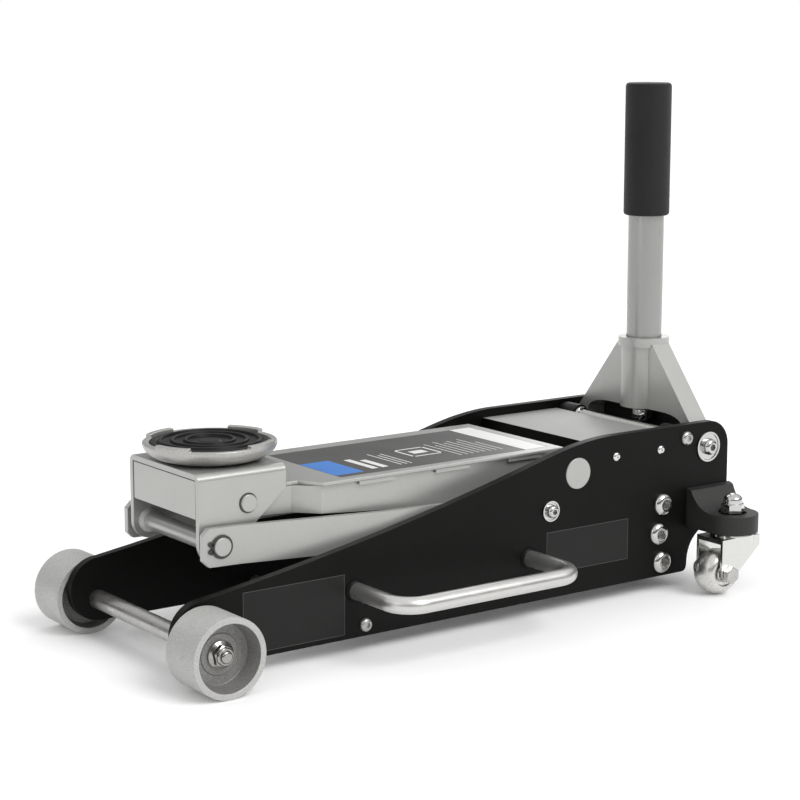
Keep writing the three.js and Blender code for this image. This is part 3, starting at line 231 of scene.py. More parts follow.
# Fine grain of a powder coat or a casting: the speckle is a mask, the height is for a bump.
def makeGrain():
    group, start, end = newGroup(
        "coatGrain",
        [("Size", "NodeSocketFloat", 0.6), ("Speckle", "NodeSocketFloat", 0.5)],
        [("Mask", "NodeSocketFloat"), ("Height", "NodeSocketFloat")],
    )
    coords = addNode(group, "ShaderNodeTexCoord")
    scale = addNode(group, "ShaderNodeMath", operation="DIVIDE")
    scale.inputs[0].default_value = 1000.0
    fine = addNode(group, "ShaderNodeTexNoise", Detail=4.0, Roughness=0.65)
    cells = addNode(group, "ShaderNodeTexVoronoi", feature="F1")
    broad = addNode(group, "ShaderNodeTexNoise", Scale=38.0, Detail=3.0)
    band = addNode(group, "ShaderNodeMapRange", From_Min=0.35, From_Max=0.68)
    mix = addNode(group, "ShaderNodeMath", operation="MULTIPLY_ADD")
    mix.inputs[2].default_value = 0.0
    soft = addNode(group, "ShaderNodeMath", operation="ADD", use_clamp=True)
    height = addNode(group, "ShaderNodeMath", operation="ADD")
    link = group.links.new
    link(start.outputs["Size"], scale.inputs[1])
    for texture in (fine, cells, broad):
        link(coords.outputs["Object"], texture.inputs["Vector"])
    link(scale.outputs[0], fine.inputs["Scale"])
    link(scale.outputs[0], cells.inputs["Scale"])
    link(fine.outputs[0], band.inputs["Value"])
    link(band.outputs[0], mix.inputs[0])
    link(start.outputs["Speckle"], mix.inputs[1])
    link(mix.outputs[0], soft.inputs[0])
    spread = addNode(group, "ShaderNodeMath", operation="MULTIPLY")
    spread.inputs[1].default_value = 0.4
    link(broad.outputs[0], spread.inputs[0])
    link(spread.outputs[0], soft.inputs[1])
    link(fine.outputs[0], height.inputs[0])
    link(cells.outputs["Distance"], height.inputs[1])
    link(soft.outputs[0], end.inputs["Mask"])
    link(height.outputs[0], end.inputs["Height"])
    return group


# Long fine lines left by turning or brushing, drawn out along one axis.
def makeBrushing():
    group, start, end = newGroup(
        "brushedLines",
        [("Stretch", "NodeSocketVector", (1.0, 60.0, 60.0)), ("Scale", "NodeSocketFloat", 60.0)],
        [("Mask", "NodeSocketFloat")],
    )
    coords = addNode(group, "ShaderNodeTexCoord")
    stretch = addNode(group, "ShaderNodeVectorMath", operation="MULTIPLY")
    lines = addNode(group, "ShaderNodeTexNoise", Detail=5.0, Roughness=0.7)
    band = addNode(group, "ShaderNodeMapRange", From_Min=0.28, From_Max=0.72)
    link = group.links.new
    link(coords.outputs["Object"], stretch.inputs[0])
    link(start.outputs["Stretch"], stretch.inputs[1])
    link(stretch.outputs[0], lines.inputs["Vector"])
    link(start.outputs["Scale"], lines.inputs["Scale"])
    link(lines.outputs[0], band.inputs["Value"])
    link(band.outputs[0], end.inputs["Mask"])
    return group


# Soft uneven patches of gloss: handling marks and plating clouds.
def makeClouds():
    group, start, end = newGroup(
        "handlingClouds",
        [
            ("Size", "NodeSocketFloat", 30.0),
            ("Low", "NodeSocketFloat", 0.3),
            ("High", "NodeSocketFloat", 0.5),
        ],
        [("Value", "NodeSocketFloat")],
    )
    coords = addNode(group, "ShaderNodeTexCoord")
    scale = addNode(group, "ShaderNodeMath", operation="DIVIDE")
    scale.inputs[0].default_value = 1000.0
    clouds = addNode(group, "ShaderNodeTexNoise", Detail=6.0, Roughness=0.6, Distortion=0.35)
    rough = addNode(group, "ShaderNodeMapRange", From_Min=0.32, From_Max=0.70)
    link = group.links.new
    link(start.outputs["Size"], scale.inputs[1])
    link(coords.outputs["Object"], clouds.inputs["Vector"])
    link(scale.outputs[0], clouds.inputs["Scale"])
    link(clouds.outputs[0], rough.inputs["Value"])
    link(start.outputs["Low"], rough.inputs["To Min"])
    link(start.outputs["High"], rough.inputs["To Max"])
    link(rough.outputs[0], end.inputs["Value"])
    return group


# A few thin scuffs and hairlines in two directions.
def makeScuffs():
    group, start, end = newGroup(
        "hairScuffs",
        [("Size", "NodeSocketFloat", 12.0), ("Amount", "NodeSocketFloat", 0.5)],
        [("Mask", "NodeSocketFloat")],
    )
    coords = addNode(group, "ShaderNodeTexCoord")
    scale = addNode(group, "ShaderNodeMath", operation="DIVIDE")
    scale.inputs[0].default_value = 1000.0
    link = group.links.new
    link(start.outputs["Size"], scale.inputs[1])
    total = None
    for turn, drawn in ((0.5, (1.0, 26.0, 26.0)), (-0.9, (30.0, 1.0, 24.0))):
        lean = addNode(group, "ShaderNodeMapping")
        lean.inputs["Rotation"].default_value = (turn, turn * 0.7, turn)
        lean.inputs["Scale"].default_value = drawn
        hair = addNode(group, "ShaderNodeTexNoise", Detail=3.0, Roughness=0.5)
        band = addNode(group, "ShaderNodeMapRange", From_Min=0.66, From_Max=0.72)
        link(coords.outputs["Object"], lean.inputs["Vector"])
        link(lean.outputs[0], hair.inputs["Vector"])
        link(scale.outputs[0], hair.inputs["Scale"])
        link(hair.outputs[0], band.inputs["Value"])
        if total is None:
            total = band
        else:
            both = addNode(group, "ShaderNodeMath", operation="MAXIMUM")
            link(total.outputs[0], both.inputs[0])
            link(band.outputs[0], both.inputs[1])
            total = both
    amount = addNode(group, "ShaderNodeMath", operation="MULTIPLY")
    link(total.outputs[0], amount.inputs[0])
    link(start.outputs["Amount"], amount.inputs[1])
    link(amount.outputs[0], end.inputs["Mask"])
    return group


effects = {
    "grain": makeGrain(),
    "brushing": makeBrushing(),
    "clouds": makeClouds(),
    "scuffs": makeScuffs(),
}


def addEffect(tree, key, **values):
    node = tree.nodes.new("ShaderNodeGroup")
    node.node_tree = effects[key]
    for socketName, value in values.items():
        node.inputs[socketName].default_value = value
    return node


# What a finish has where its own entry says nothing. Sizes and the bump's depth are in mm.
plainLook = {
    "speckle": 0.5, "cloudSize": 35.0, "scuffs": 0.3, "scuffSize": 12.0, "brushScale": 40.0, "depth": 0.05,
    "metallic": 0.0, "specular": 0.5, "coat": 0.0, "coatRoughness": 0.1, "sheen": 0.0,
}


# One finish: a base colour that drifts to a second one, scuffs, uneven gloss and a fine bump.
def makeFinish(name, ownLook):
    look = {"scuffColour": ownLook["grainColour"], **plainLook, **ownLook}
    material = bpy.data.materials.new(name)
    material.use_nodes = True
    tree = material.node_tree
    shader = tree.nodes["Principled BSDF"]
    link = tree.links.new
    low, high = look["gloss"]
    grain = addEffect(tree, "grain", Size=look["grainSize"], Speckle=look["speckle"])
    clouds = addEffect(tree, "clouds", Size=look["cloudSize"], Low=low, High=high)
    scuffs = addEffect(tree, "scuffs", Size=look["scuffSize"], Amount=look["scuffs"])
    tint = addNode(tree, "ShaderNodeMix", data_type="RGBA")
    tint.inputs["A"].default_value = (*look["colour"], 1.0)
    tint.inputs["B"].default_value = (*look["grainColour"], 1.0)
    worn = addNode(tree, "ShaderNodeMix", data_type="RGBA")
    worn.inputs["B"].default_value = (*look["scuffColour"], 1.0)
    height = grain.outputs["Height"]
    mask = grain.outputs["Mask"]
    if "brush" in look:
        brushing = addEffect(tree, "brushing", Stretch=look["brush"], Scale=look["brushScale"])
        lines = addNode(tree, "ShaderNodeMath", operation="ADD")
        link(brushing.outputs["Mask"], lines.inputs[0])
        link(height, lines.inputs[1])
        height = lines.outputs[0]
        both = addNode(tree, "ShaderNodeMath", operation="MULTIPLY")
        link(brushing.outputs["Mask"], both.inputs[0])
        link(mask, both.inputs[1])
        mask = both.outputs[0]
    bump = addNode(tree, "ShaderNodeBump", Strength=look["bump"], Distance=look["depth"] * mm)
    link(mask, tint.inputs["Factor"])
    link(tint.outputs["Result"], worn.inputs["A"])
    link(scuffs.outputs["Mask"], worn.inputs["Factor"])
    link(worn.outputs["Result"], shader.inputs["Base Color"])
    link(clouds.outputs["Value"], shader.inputs["Roughness"])
    link(height, bump.inputs["Height"])
    link(bump.outputs["Normal"], shader.inputs["Normal"])
    shader.inputs["Metallic"].default_value = look["metallic"]
    shader.inputs["Specular IOR Level"].default_value = look["specular"]
    shader.inputs["Coat Weight"].default_value = look["coat"]
    shader.inputs["Coat Roughness"].default_value = look["coatRoughness"]
    shader.inputs["Sheen Weight"].default_value = look["sheen"]
    return material


# gloss is the roughness range, speckle the grain's contrast, brush the way its lines are drawn out
finishLooks = {
    "blackPlate": {
        "colour": (0.0028, 0.0027, 0.0024), "grainColour": (0.0062, 0.0059, 0.0055), "grainSize": 0.55,
        "gloss": (0.36, 0.46), "bump": 0.22, "specular": 0.12, "scuffs": 0.06,
        "scuffColour": (0.022, 0.021, 0.020), "cloudSize": 80.0,
    },
    "greyPaint": {
        "colour": (0.47, 0.47, 0.455), "grainColour": (0.40, 0.40, 0.385), "grainSize": 0.8, "speckle": 0.6,
        "gloss": (0.27, 0.38), "bump": 0.16, "metallic": 0.5, "coat": 0.2, "coatRoughness": 0.22,
        "scuffs": 0.12, "scuffColour": (0.33, 0.33, 0.32), "cloudSize": 60.0,
    },
    "coverPaint": {
        "colour": (0.34, 0.34, 0.33), "grainColour": (0.30, 0.30, 0.29), "grainSize": 0.8, "speckle": 0.5,
        "gloss": (0.44, 0.54), "bump": 0.14, "metallic": 0.25, "scuffs": 0.06,
        "scuffColour": (0.27, 0.27, 0.262), "cloudSize": 70.0,
    },
    "castGrey": {
        "colour": (0.60, 0.60, 0.585), "grainColour": (0.34, 0.34, 0.33), "grainSize": 0.9, "speckle": 0.75,
        "gloss": (0.42, 0.58), "bump": 0.45, "depth": 0.10, "metallic": 0.25, "scuffs": 0.12,
        "cloudSize": 25.0,
    },
    "brightZinc": {
        "colour": (0.72, 0.72, 0.70), "grainColour": (0.60, 0.60, 0.58), "grainSize": 1.6, "speckle": 0.4,
        "gloss": (0.10, 0.22), "bump": 0.05, "metallic": 1.0, "scuffs": 0.2,
        "scuffColour": (0.5, 0.5, 0.48), "cloudSize": 14.0,
    },
    "chromePlate": {
        "colour": (0.60, 0.60, 0.59), "grainColour": (0.50, 0.50, 0.49), "grainSize": 1.6, "speckle": 0.3,
        "gloss": (0.05, 0.12), "bump": 0.03, "metallic": 1.0, "scuffs": 0.15,
        "scuffColour": (0.55, 0.55, 0.54), "cloudSize": 10.0,
    },
    "wheelZinc": {
        "colour": (0.76, 0.75, 0.73), "grainColour": (0.52, 0.515, 0.50), "grainSize": 2.2, "speckle": 0.5,
        "gloss": (0.22, 0.34), "bump": 0.06, "metallic": 0.9, "scuffs": 0.2,
        "scuffColour": (0.50, 0.495, 0.48), "cloudSize": 8.0,
    },
    "zincRod": {
        "colour": (0.66, 0.655, 0.64), "grainColour": (0.38, 0.375, 0.36), "grainSize": 0.9, "speckle": 0.9,
        "gloss": (0.20, 0.34), "bump": 0.25, "metallic": 0.95, "scuffs": 0.3,
        "scuffColour": (0.3, 0.295, 0.28), "cloudSize": 9.0,
    },
    "saddleCast": {
        "colour": (0.52, 0.515, 0.50), "grainColour": (0.33, 0.325, 0.315), "grainSize": 1.3,
        "speckle": 0.55, "gloss": (0.28, 0.42), "bump": 0.30, "depth": 0.12, "metallic": 0.6, "scuffs": 0.25,
        "scuffColour": (0.66, 0.655, 0.64), "cloudSize": 16.0,
    },
    "satinHandle": {
        "colour": (0.66, 0.655, 0.64), "grainColour": (0.52, 0.515, 0.50), "grainSize": 0.8, "speckle": 0.5,
        "gloss": (0.28, 0.38), "bump": 0.10, "metallic": 0.9, "scuffs": 0.10,
        "scuffColour": (0.42, 0.415, 0.40), "cloudSize": 18.0,
        "brush": (4.0, 60.0, 60.0), "brushScale": 20.0,
    },
    "turnedSteel": {
        "colour": (0.52, 0.515, 0.50), "grainColour": (0.30, 0.295, 0.285), "grainSize": 1.1, "speckle": 0.8,
        "gloss": (0.24, 0.42), "bump": 0.22, "metallic": 0.95, "scuffs": 0.3,
        "scuffColour": (0.2, 0.195, 0.19), "cloudSize": 12.0, "brush": (60.0, 3.0, 60.0), "brushScale": 22.0,
    },
    "handleTube": {
        "colour": (0.36, 0.36, 0.35), "grainColour": (0.31, 0.31, 0.30), "grainSize": 0.9, "speckle": 0.5,
        "gloss": (0.26, 0.33), "bump": 0.07, "metallic": 0.6, "scuffs": 0.03,
        "scuffColour": (0.33, 0.33, 0.32), "cloudSize": 50.0, "brush": (70.0, 70.0, 2.0), "brushScale": 18.0,
    },
    "darkSteel": {
        "colour": (0.10, 0.098, 0.094), "grainColour": (0.05, 0.049, 0.047), "grainSize": 0.9,
        "gloss": (0.30, 0.48), "bump": 0.2, "metallic": 0.9, "scuffs": 0.3,
        "scuffColour": (0.22, 0.215, 0.21),
    },
    "springSteel": {
        "colour": (0.22, 0.218, 0.21), "grainColour": (0.12, 0.118, 0.114), "grainSize": 0.7,
        "gloss": (0.24, 0.36), "bump": 0.12, "metallic": 1.0, "scuffs": 0.3,
    },
    "blackCasting": {
        "colour": (0.013, 0.0125, 0.0118), "grainColour": (0.027, 0.026, 0.025), "grainSize": 1.1,
        "gloss": (0.42, 0.56), "bump": 0.55, "depth": 0.12, "specular": 0.4, "scuffs": 0.12,
        "scuffColour": (0.07, 0.068, 0.065), "cloudSize": 40.0,
    },
    "blackRubber": {
        "colour": (0.0055, 0.0055, 0.0053), "grainColour": (0.011, 0.0108, 0.0105), "grainSize": 0.9,
        "gloss": (0.34, 0.50), "bump": 0.35, "depth": 0.08, "specular": 0.20, "scuffs": 0.15,
        "scuffColour": (0.03, 0.03, 0.029), "cloudSize": 16.0,
    },
    "blackFoam": {
        "colour": (0.0075, 0.0075, 0.0073), "grainColour": (0.014, 0.014, 0.0135), "grainSize": 0.7,
        "gloss": (0.55, 0.72), "bump": 0.6, "depth": 0.12, "specular": 0.3, "scuffs": 0.08,
        "scuffColour": (0.03, 0.03, 0.029), "sheen": 0.1,
    },
    "labelDark": {
        "colour": (0.055, 0.054, 0.052), "grainColour": (0.045, 0.044, 0.043), "grainSize": 1.2,
        "gloss": (0.30, 0.40), "bump": 0.05, "scuffs": 0.15, "scuffColour": (0.16, 0.16, 0.155),
    },
    "labelBlue": {
        "colour": (0.035, 0.20, 0.62), "grainColour": (0.03, 0.18, 0.57), "grainSize": 1.2,
        "gloss": (0.30, 0.40), "bump": 0.05, "scuffs": 0.1, "scuffColour": (0.15, 0.3, 0.6),
    },
    "labelWhite": {
        "colour": (0.78, 0.78, 0.76), "grainColour": (0.72, 0.72, 0.70), "grainSize": 1.2,
        "gloss": (0.32, 0.42), "bump": 0.05, "scuffs": 0.1, "scuffColour": (0.55, 0.55, 0.53),
    },
    "labelBlack": {
        "colour": (0.010, 0.0098, 0.0095), "grainColour": (0.015, 0.0147, 0.0142), "grainSize": 0.9,
        "gloss": (0.34, 0.44), "bump": 0.08, "specular": 0.2, "scuffs": 0.08,
        "scuffColour": (0.03, 0.03, 0.029),
    },
    "labelBorder": {
        "colour": (0.075, 0.074, 0.072), "grainColour": (0.055, 0.054, 0.052), "grainSize": 0.9,
        "gloss": (0.34, 0.44), "bump": 0.05, "specular": 0.3, "scuffs": 0.08,
        "scuffColour": (0.03, 0.03, 0.029),
    },
    # A darker copy of the cast grey: painted shade for the hollow inside the front wheels' rims.
    "castPaintedShade": {
        "colour": (0.34, 0.336, 0.325), "grainColour": (0.17, 0.168, 0.162), "grainSize": 1.1,
        "speckle": 0.8, "gloss": (0.40, 0.55), "bump": 0.6, "depth": 0.14, "metallic": 0.35, "scuffs": 0.2,
        "cloudSize": 14.0,
    },
    # A darker copy of the bright zinc: painted shade for the front axle and its nuts, deep in the wheels'
    # recesses, and for the insides of key sockets.
    "shadedZinc": {
        "colour": (0.42, 0.415, 0.40), "grainColour": (0.27, 0.265, 0.255), "grainSize": 1.4, "speckle": 0.5,
        "gloss": (0.10, 0.20), "bump": 0.06, "metallic": 1.0, "scuffs": 0.25,
        "scuffColour": (0.22, 0.218, 0.21), "cloudSize": 7.0,
    },
}
finishes = {name: makeFinish(name, look) for name, look in finishLooks.items()}
print("finishes made")


# Gives the faces that pass a test a second finish.
def paintFaces(piece, material, test):
    piece.data.materials.append(material)
    index = len(piece.data.materials) - 1
    for face in piece.data.polygons:
        if test(face):
            face.material_index = index


# Sheet, plate and cast pieces keep the CAD shape: they are cleaned, bevelled and painted.
softened = {
    # node: body, slot, finish, bevel in mm, bevel segments
    "side_plate_left": ("frame", "black_plate", "blackPlate", 0.9, 3),
    "side_plate_right": ("frame", "black_plate", "blackPlate", 0.9, 3),
    "arm_side_left": ("arm", "grey_paint", "greyPaint", 0.8, 2),
    "arm_side_right": ("arm", "grey_paint", "greyPaint", 0.8, 2),
    "arm_top_cover": ("arm", "grey_paint", "greyPaint", 0.9, 3),
    "parallel_link_left": ("links", "grey_paint", "greyPaint", 1.0, 3),
    "parallel_link_right": ("links", "grey_paint", "greyPaint", 1.0, 3),
    "saddle_bracket": ("bracket", "grey_paint", "greyPaint", 0.8, 2),
    "bracket_front_plate": ("bracket", "grey_paint", "greyPaint", 0.5, 2),
    "pump_block": ("frame", "black_casting", "blackCasting", 1.4, 3),
    "oil_tank": ("frame", "black_casting", "blackCasting", 0.8, 2),
    "ram_cylinder": ("frame", "dark_steel", "darkSteel", 0.6, 2),
    "ram_yoke": ("ram", "dark_steel", "darkSteel", 1.0, 2),
    "unit_cover": ("frame", "grey_paint", "coverPaint", 0.7, 2),
    "handle_socket": ("socket", "grey_paint", "greyPaint", 1.2, 3),
    "pump_lever": ("socket", "black_casting", "blackCasting", 0.8, 2),
    "pump_neck": ("frame", "brushed_steel", "turnedSteel", 0.4, 2),
    "pump_roller": ("roller", "brushed_steel", "turnedSteel", 0.6, 2),
    "pump_plunger": ("plunger", "bright_steel", "brightZinc", 0.4, 2),
    "ram_rod": ("ram", "bright_steel", "brightZinc", 0.5, 2),
    "crank_pin": ("arm", "dark_steel", "darkSteel", 0.5, 2),
    "caster_bracket_left": ("frame", "black_casting", "blackCasting", 1.3, 3),
    "caster_bracket_right": ("frame", "black_casting", "blackCasting", 1.3, 3),
    "caster_fork_left": ("caster_left", "bright_steel", "brightZinc", 0.5, 2),
    "caster_fork_right": ("caster_right", "bright_steel", "brightZinc", 0.5, 2),
    "release_valve": ("valve", "bright_steel", "brightZinc", 0.4, 2),
}


def softenPieces():
    for node, (body, slot, finish, bevel, segments) in softened.items():
        piece = copyOf(node)
        if "link" in node or "arm_side" in node:
            keepFolds(piece)
        rounded(piece, bevel * mm, segments, 26)
        finished(piece, node + "_shell", body, slot, finishes[finish], node)
        # The cover's forward-facing faces take the black plate finish: painted shade under the cover's front
        # edge.
        if node == "unit_cover":
            paintFaces(piece, finishes["blackPlate"], lambda face: face.normal.x < -0.9)
    print("softened", len(softened), "pieces")


softenPieces()


# A rounded cap: rings from the rim of a head over its dome to the flat round its key socket.
def domeRings(radius, height, topRadius, base, steps=6):
    rings = [(radius, base), (radius, base + 0.12 * height)]
    for i in range(1, steps + 1):
        angle = math.pi / 2 * i / steps
        rings.append((
            topRadius + (radius - topRadius) * math.cos(angle),
            base + height * (0.12 + 0.88 * math.sin(angle)),
        ))
    return rings


def keySocket(piece, corner, depth, face, place, direction, spin=0.3):
    tool = turned("keySocket", [(corner, face - depth), (corner, face + depth)], place, direction, 6, spin)
    return booled(piece, tool)


# Front wheels: cast rims with a recessed face and a raised hub disc
frontWheel = {
    "rimWall": 4.6 * mm, "recess": 12 * mm, "draft": 3.0 * mm, "floorLip": 0.8 * mm, "edge": 0.9 * mm,
    "hubRadius": 15.5 * mm, "hubStep": 3 * mm, "hubSlope": 1.5 * mm, "hubFoot": 0.6 * mm,
    "hubFlare": 0.3 * mm, "backRecess": 9 * mm, "backDraft": 2 * mm, "backHub": 3 * mm,
    "bore": 5.06 * mm, "nutGap": 0.1 * mm,
}


def makeFrontWheels():
    w = frontWheel
    hub = w["hubRadius"]
    for side, sign in sides.items():
        node = "front_wheel_" + side
        low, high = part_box(node)
        radius = (high.z - low.z) / 2
        outer = max(abs(low.y), abs(high.y))
        inner = min(abs(low.y), abs(high.y))
        mouth = radius - w["rimWall"]
        hubFace = outer - w["recess"] - w["hubStep"]
        floorRadius = mouth - w["draft"]
        rings = [
            (w["bore"], hubFace + w["hubStep"] * 0.75),
            (hub - w["hubSlope"], hubFace + w["hubStep"] * 0.75),
            (hub, hubFace + w["hubStep"] * 0.35),
            (hub + w["hubFlare"], hubFace - w["hubFoot"]),
            (floorRadius, hubFace - w["hubFoot"]),
            (floorRadius + w["floorLip"], hubFace + w["floorLip"]),
            (mouth, outer),
            (radius, outer),
            (radius, inner),
            (mouth, inner),
            (mouth - w["backDraft"], inner + w["backRecess"]),
            (hub - w["backHub"], inner + w["backRecess"]),
            (hub - w["backHub"], inner),
            (w["bore"], inner),
            (w["bore"], hubFace + w["hubStep"] * 0.75),
        ]
        # The hub disc stays behind the nut's flange.
        nutLow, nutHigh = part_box("front_axle_nut_" + side)
        face = min(abs(nutLow.y), abs(nutHigh.y)) - w["nutGap"]
        rings = [(r, min(y, face) if r <= hub else y) for r, y in rings]
        centre = Vector(((low.x + high.x) / 2, 0, (low.z + high.z) / 2))
        wheel = turned(node + "_cast", rings, centre, (0, sign, 0), 96)
        rounded(wheel, w["edge"], 3, 30)
        finished(wheel, node + "_cast", node, "cast_grey", finishes["castGrey"], node)
        # Faces inside the rim's mouth take the darker cast finish: painted shade in the wheel's recess.
        inside = mouth - 0.2 * mm
        paintFaces(wheel, finishes["castPaintedShade"], lambda face: (
            Vector((face.center.x - centre.x, face.center.z - centre.z)).length < inside
        ))
    print("front wheels made")


makeFrontWheels()

# Front axle with its cross tube and flange nuts
axleFit = {
    # how far in and back each ring of the rounded tip lies, as shares of tipRound
    "tipRound": 1.3 * mm, "tipRings": ((1.7, 0.0), (0.8, 0.35), (0.2, 1.0), (0.0, 1.8)),
    "flange": 1.6 * mm, "flangeEdge": 0.4 * mm, "flangeSlope": 1.4 * mm, "hexShare": 0.82,
    "hexHeight": 7.0 * mm, "collar": 6.9 * mm, "collarSink": 1 * mm, "collarRound": 0.8 * mm,
    "collarMouth": 1.2 * mm, "bore": 5.03 * mm,
}


def makeAxleNut(side, sign, centre):
    a = axleFit
    node = "front_axle_nut_" + side
    low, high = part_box(node)
    near, far = sorted((abs(low.y), abs(high.y)))
    height = far - near
    flangeRadius = (high.x - low.x) / 2
    hexCorner = flangeRadius * a["hexShare"]
    flange = turned("flange", [
        (flangeRadius - a["flangeEdge"], 0), (flangeRadius, 0.3 * mm), (flangeRadius, a["flange"]),
        (hexCorner * 0.9, a["flange"] + a["flangeSlope"]),
    ], (0, 0, 0), count=64)
    nut = hexHead("nut", hexCorner, a["hexHeight"] - a["flange"], (0, 0, a["flange"]), (0, 0, 1))
    booled(nut, flange, "UNION")
    collar = turned("collar", [
        (a["collar"], a["hexHeight"] - a["collarSink"]), (a["collar"], height - a["collarRound"]),
        (a["collar"] - a["collarRound"], height), (a["collar"] - a["collarMouth"], height),
    ], (0, 0, 0), count=56)
    booled(nut, collar, "UNION")
    booled(nut, turned("bore", [(a["bore"], -mm), (a["bore"], height + mm)], (0, 0, 0), count=48))
    placed(nut, Vector((centre.x, sign * near, centre.z)), (0, sign, 0), 0.2)
    rounded(nut, 0.25 * mm, 2, 30)
    finished(nut, "front_flange_nut_" + side, "frame", "bright_steel", finishes["shadedZinc"], node)


def makeFrontAxle():
    a = axleFit
    centre = middleOf("front_axle")
    centre.y = 0
    low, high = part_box("front_axle")
    radius = (high.z - low.z) / 2
    tip = a["tipRound"]
    end = [(radius - inward * tip, high.y - back * tip) for inward, back in a["tipRings"]]
    rings = [(r, -y) for r, y in end] + end[::-1]
    axle = turned("front_axle_bar", rings, centre, (0, 1, 0), 48)
    finished(axle, "front_axle_bar", "frame", "bright_steel", finishes["shadedZinc"], "front_axle")
    low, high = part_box("front_axle_sleeve")
    outer = (high.z - low.z) / 2
    bore = a["bore"]
    tube = [(bore, low.y), (outer, low.y), (outer, high.y), (bore, high.y), (bore, low.y)]
    sleeve = rounded(turned("axle_sleeve", tube, centre, (0, 1, 0), 64), 0.6 * mm, 2)
    steel = finishes["turnedSteel"]
    finished(sleeve, "front_axle_tube", "frame", "brushed_steel", steel, "front_axle_sleeve")
    for side, sign in sides.items():
        makeAxleNut(side, sign, centre)
    print("front axle made")


makeFrontAxle()

# Through bolts of the power unit, and the pivot bolts: button heads with key sockets
unitBolt = {"shank": 4.9 * mm, "widen": 1.22, "top": 0.5, "socketShare": 0.40, "socketDepth": 0.52}
pivotBolts = {
    "link_pivot_bolt": {"washer": 1.4 * mm, "head": 5.6 * mm, "rim": 1.2 * mm, "shank": 4.95 * mm},
    "socket_pivot_bolt": {"washer": 1.5 * mm, "head": 7.2 * mm, "rim": 1.5 * mm, "shank": 7.95 * mm},
}


# The inside of a key socket is painted darker, as painted shade: its faces lie near the axis and below the
# head's top.
def paintSocketShade(bolt, centre, corner, plateY, top):
    def isInside(face):
        away = Vector((face.center.x - centre.x, face.center.z - centre.z)).length
        return away < corner * 1.02 and plateY < abs(face.center.y) < top - 0.25 * mm
    paintFaces(bolt, finishes["shadedZinc"], isInside)


def makeUnitBolt(node, plateY):
    u = unitBolt
    low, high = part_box(node)
    centre = middleOf(node)
    head = u["widen"] * (high.x - low.x) / 2
    height = high.y - plateY
    half = [(u["shank"], plateY)] + domeRings(head, height, head * u["top"], plateY, 7)
    rings = [(r, -y) for r, y in half[::-1]] + half
    bolt = turned(node, rings, centre, (0, 1, 0), 56)
    for sign in (-1, 1):
        keySocket(bolt, head * u["socketShare"], height * u["socketDepth"], high.y, centre, (0, sign, 0))
    rounded(bolt, 0.18 * mm, 2, 40)
    finished(bolt, node + "_button", "frame", "bright_steel", finishes["chromePlate"], node)
    paintSocketShade(bolt, centre, head * u["socketShare"], plateY, high.y)


# A pivot bolt: a button head on a dished washer, with a plain shank that the pivot turns on.
def makePivotBolt(kind, side, sign, plateY):
    p = pivotBolts[kind]
    node = kind + "_" + side
    low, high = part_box(node)
    centre = middleOf(node)
    centre.y = 0
    outer = (high.x - low.x) / 2
    tip = min(abs(low.y), abs(high.y))
    top = max(abs(low.y), abs(high.y))
    washer, head, rim, shank = p["washer"], p["head"], p["rim"], p["shank"]
    rings = [
        (shank - 0.6 * mm, tip), (shank, tip + 0.6 * mm), (shank, plateY), (outer, plateY),
        (outer, plateY + washer), (outer - rim, plateY + washer),
        (outer - rim - 0.3 * mm, plateY + 0.4 * washer), (head, plateY + 0.4 * washer),
    ]
    rings += domeRings(head, top - plateY - washer * 0.8, head * 0.5, plateY + washer * 0.8)
    bolt = turned(node, rings, centre, (0, sign, 0), 64)
    keySocket(bolt, head * 0.45, (top - plateY) * 0.45, top, centre, (0, sign, 0))
    rounded(bolt, 0.15 * mm, 2, 40)
    finished(bolt, node + "_washered", "frame", "bright_steel", finishes["chromePlate"], node)
    paintSocketShade(bolt, centre, head * 0.45, plateY, top)


def makeBolts():
    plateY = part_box("side_plate_right")[1].y
    for level in ("upper", "middle", "lower"):
        makeUnitBolt("unit_bolt_" + level, plateY)
    for side, sign in sides.items():
        for kind in pivotBolts:
            makePivotBolt(kind, side, sign, plateY)
    print("bolts made")


# Pins: the arm's pivot shaft, the nose pin and the cross pin with its weld beads
pins = {
    "shaftNeck": 10 * mm, "shaftStub": 6.6 * mm,
    "gapRing": 1.1 * mm, "gapDepth": 0.12 * mm, "fit": 0.02 * mm,  # the dark line round the nose pin, a painted shadow of the gap round it
    # each ring of a weld bead: over the pin's radius, and in from the bracket's side
    "weld": ((0.02, 3.4), (0.9, 2.8), (2.0, 1.2), (2.6, 0.02), (0.02, 0.02), (0.02, 3.4)),
}


def makePivotShaft():
    low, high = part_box("arm_pivot_shaft")
    head = (high.x - low.x) / 2
    stub = high.y - pins["shaftStub"]
    half = [(pins["shaftNeck"], stub), (head, stub), (head, high.y)]
    rings = [(r, -y) for r, y in half[::-1]] + half
    shaft = turned("arm_shaft", rings, middleOf("arm_pivot_shaft"), (0, 1, 0), 72)
    rounded(shaft, 0.7 * mm, 3)
    finished(shaft, "arm_pivot_bar", "frame", "grey_paint", finishes["greyPaint"], "arm_pivot_shaft")


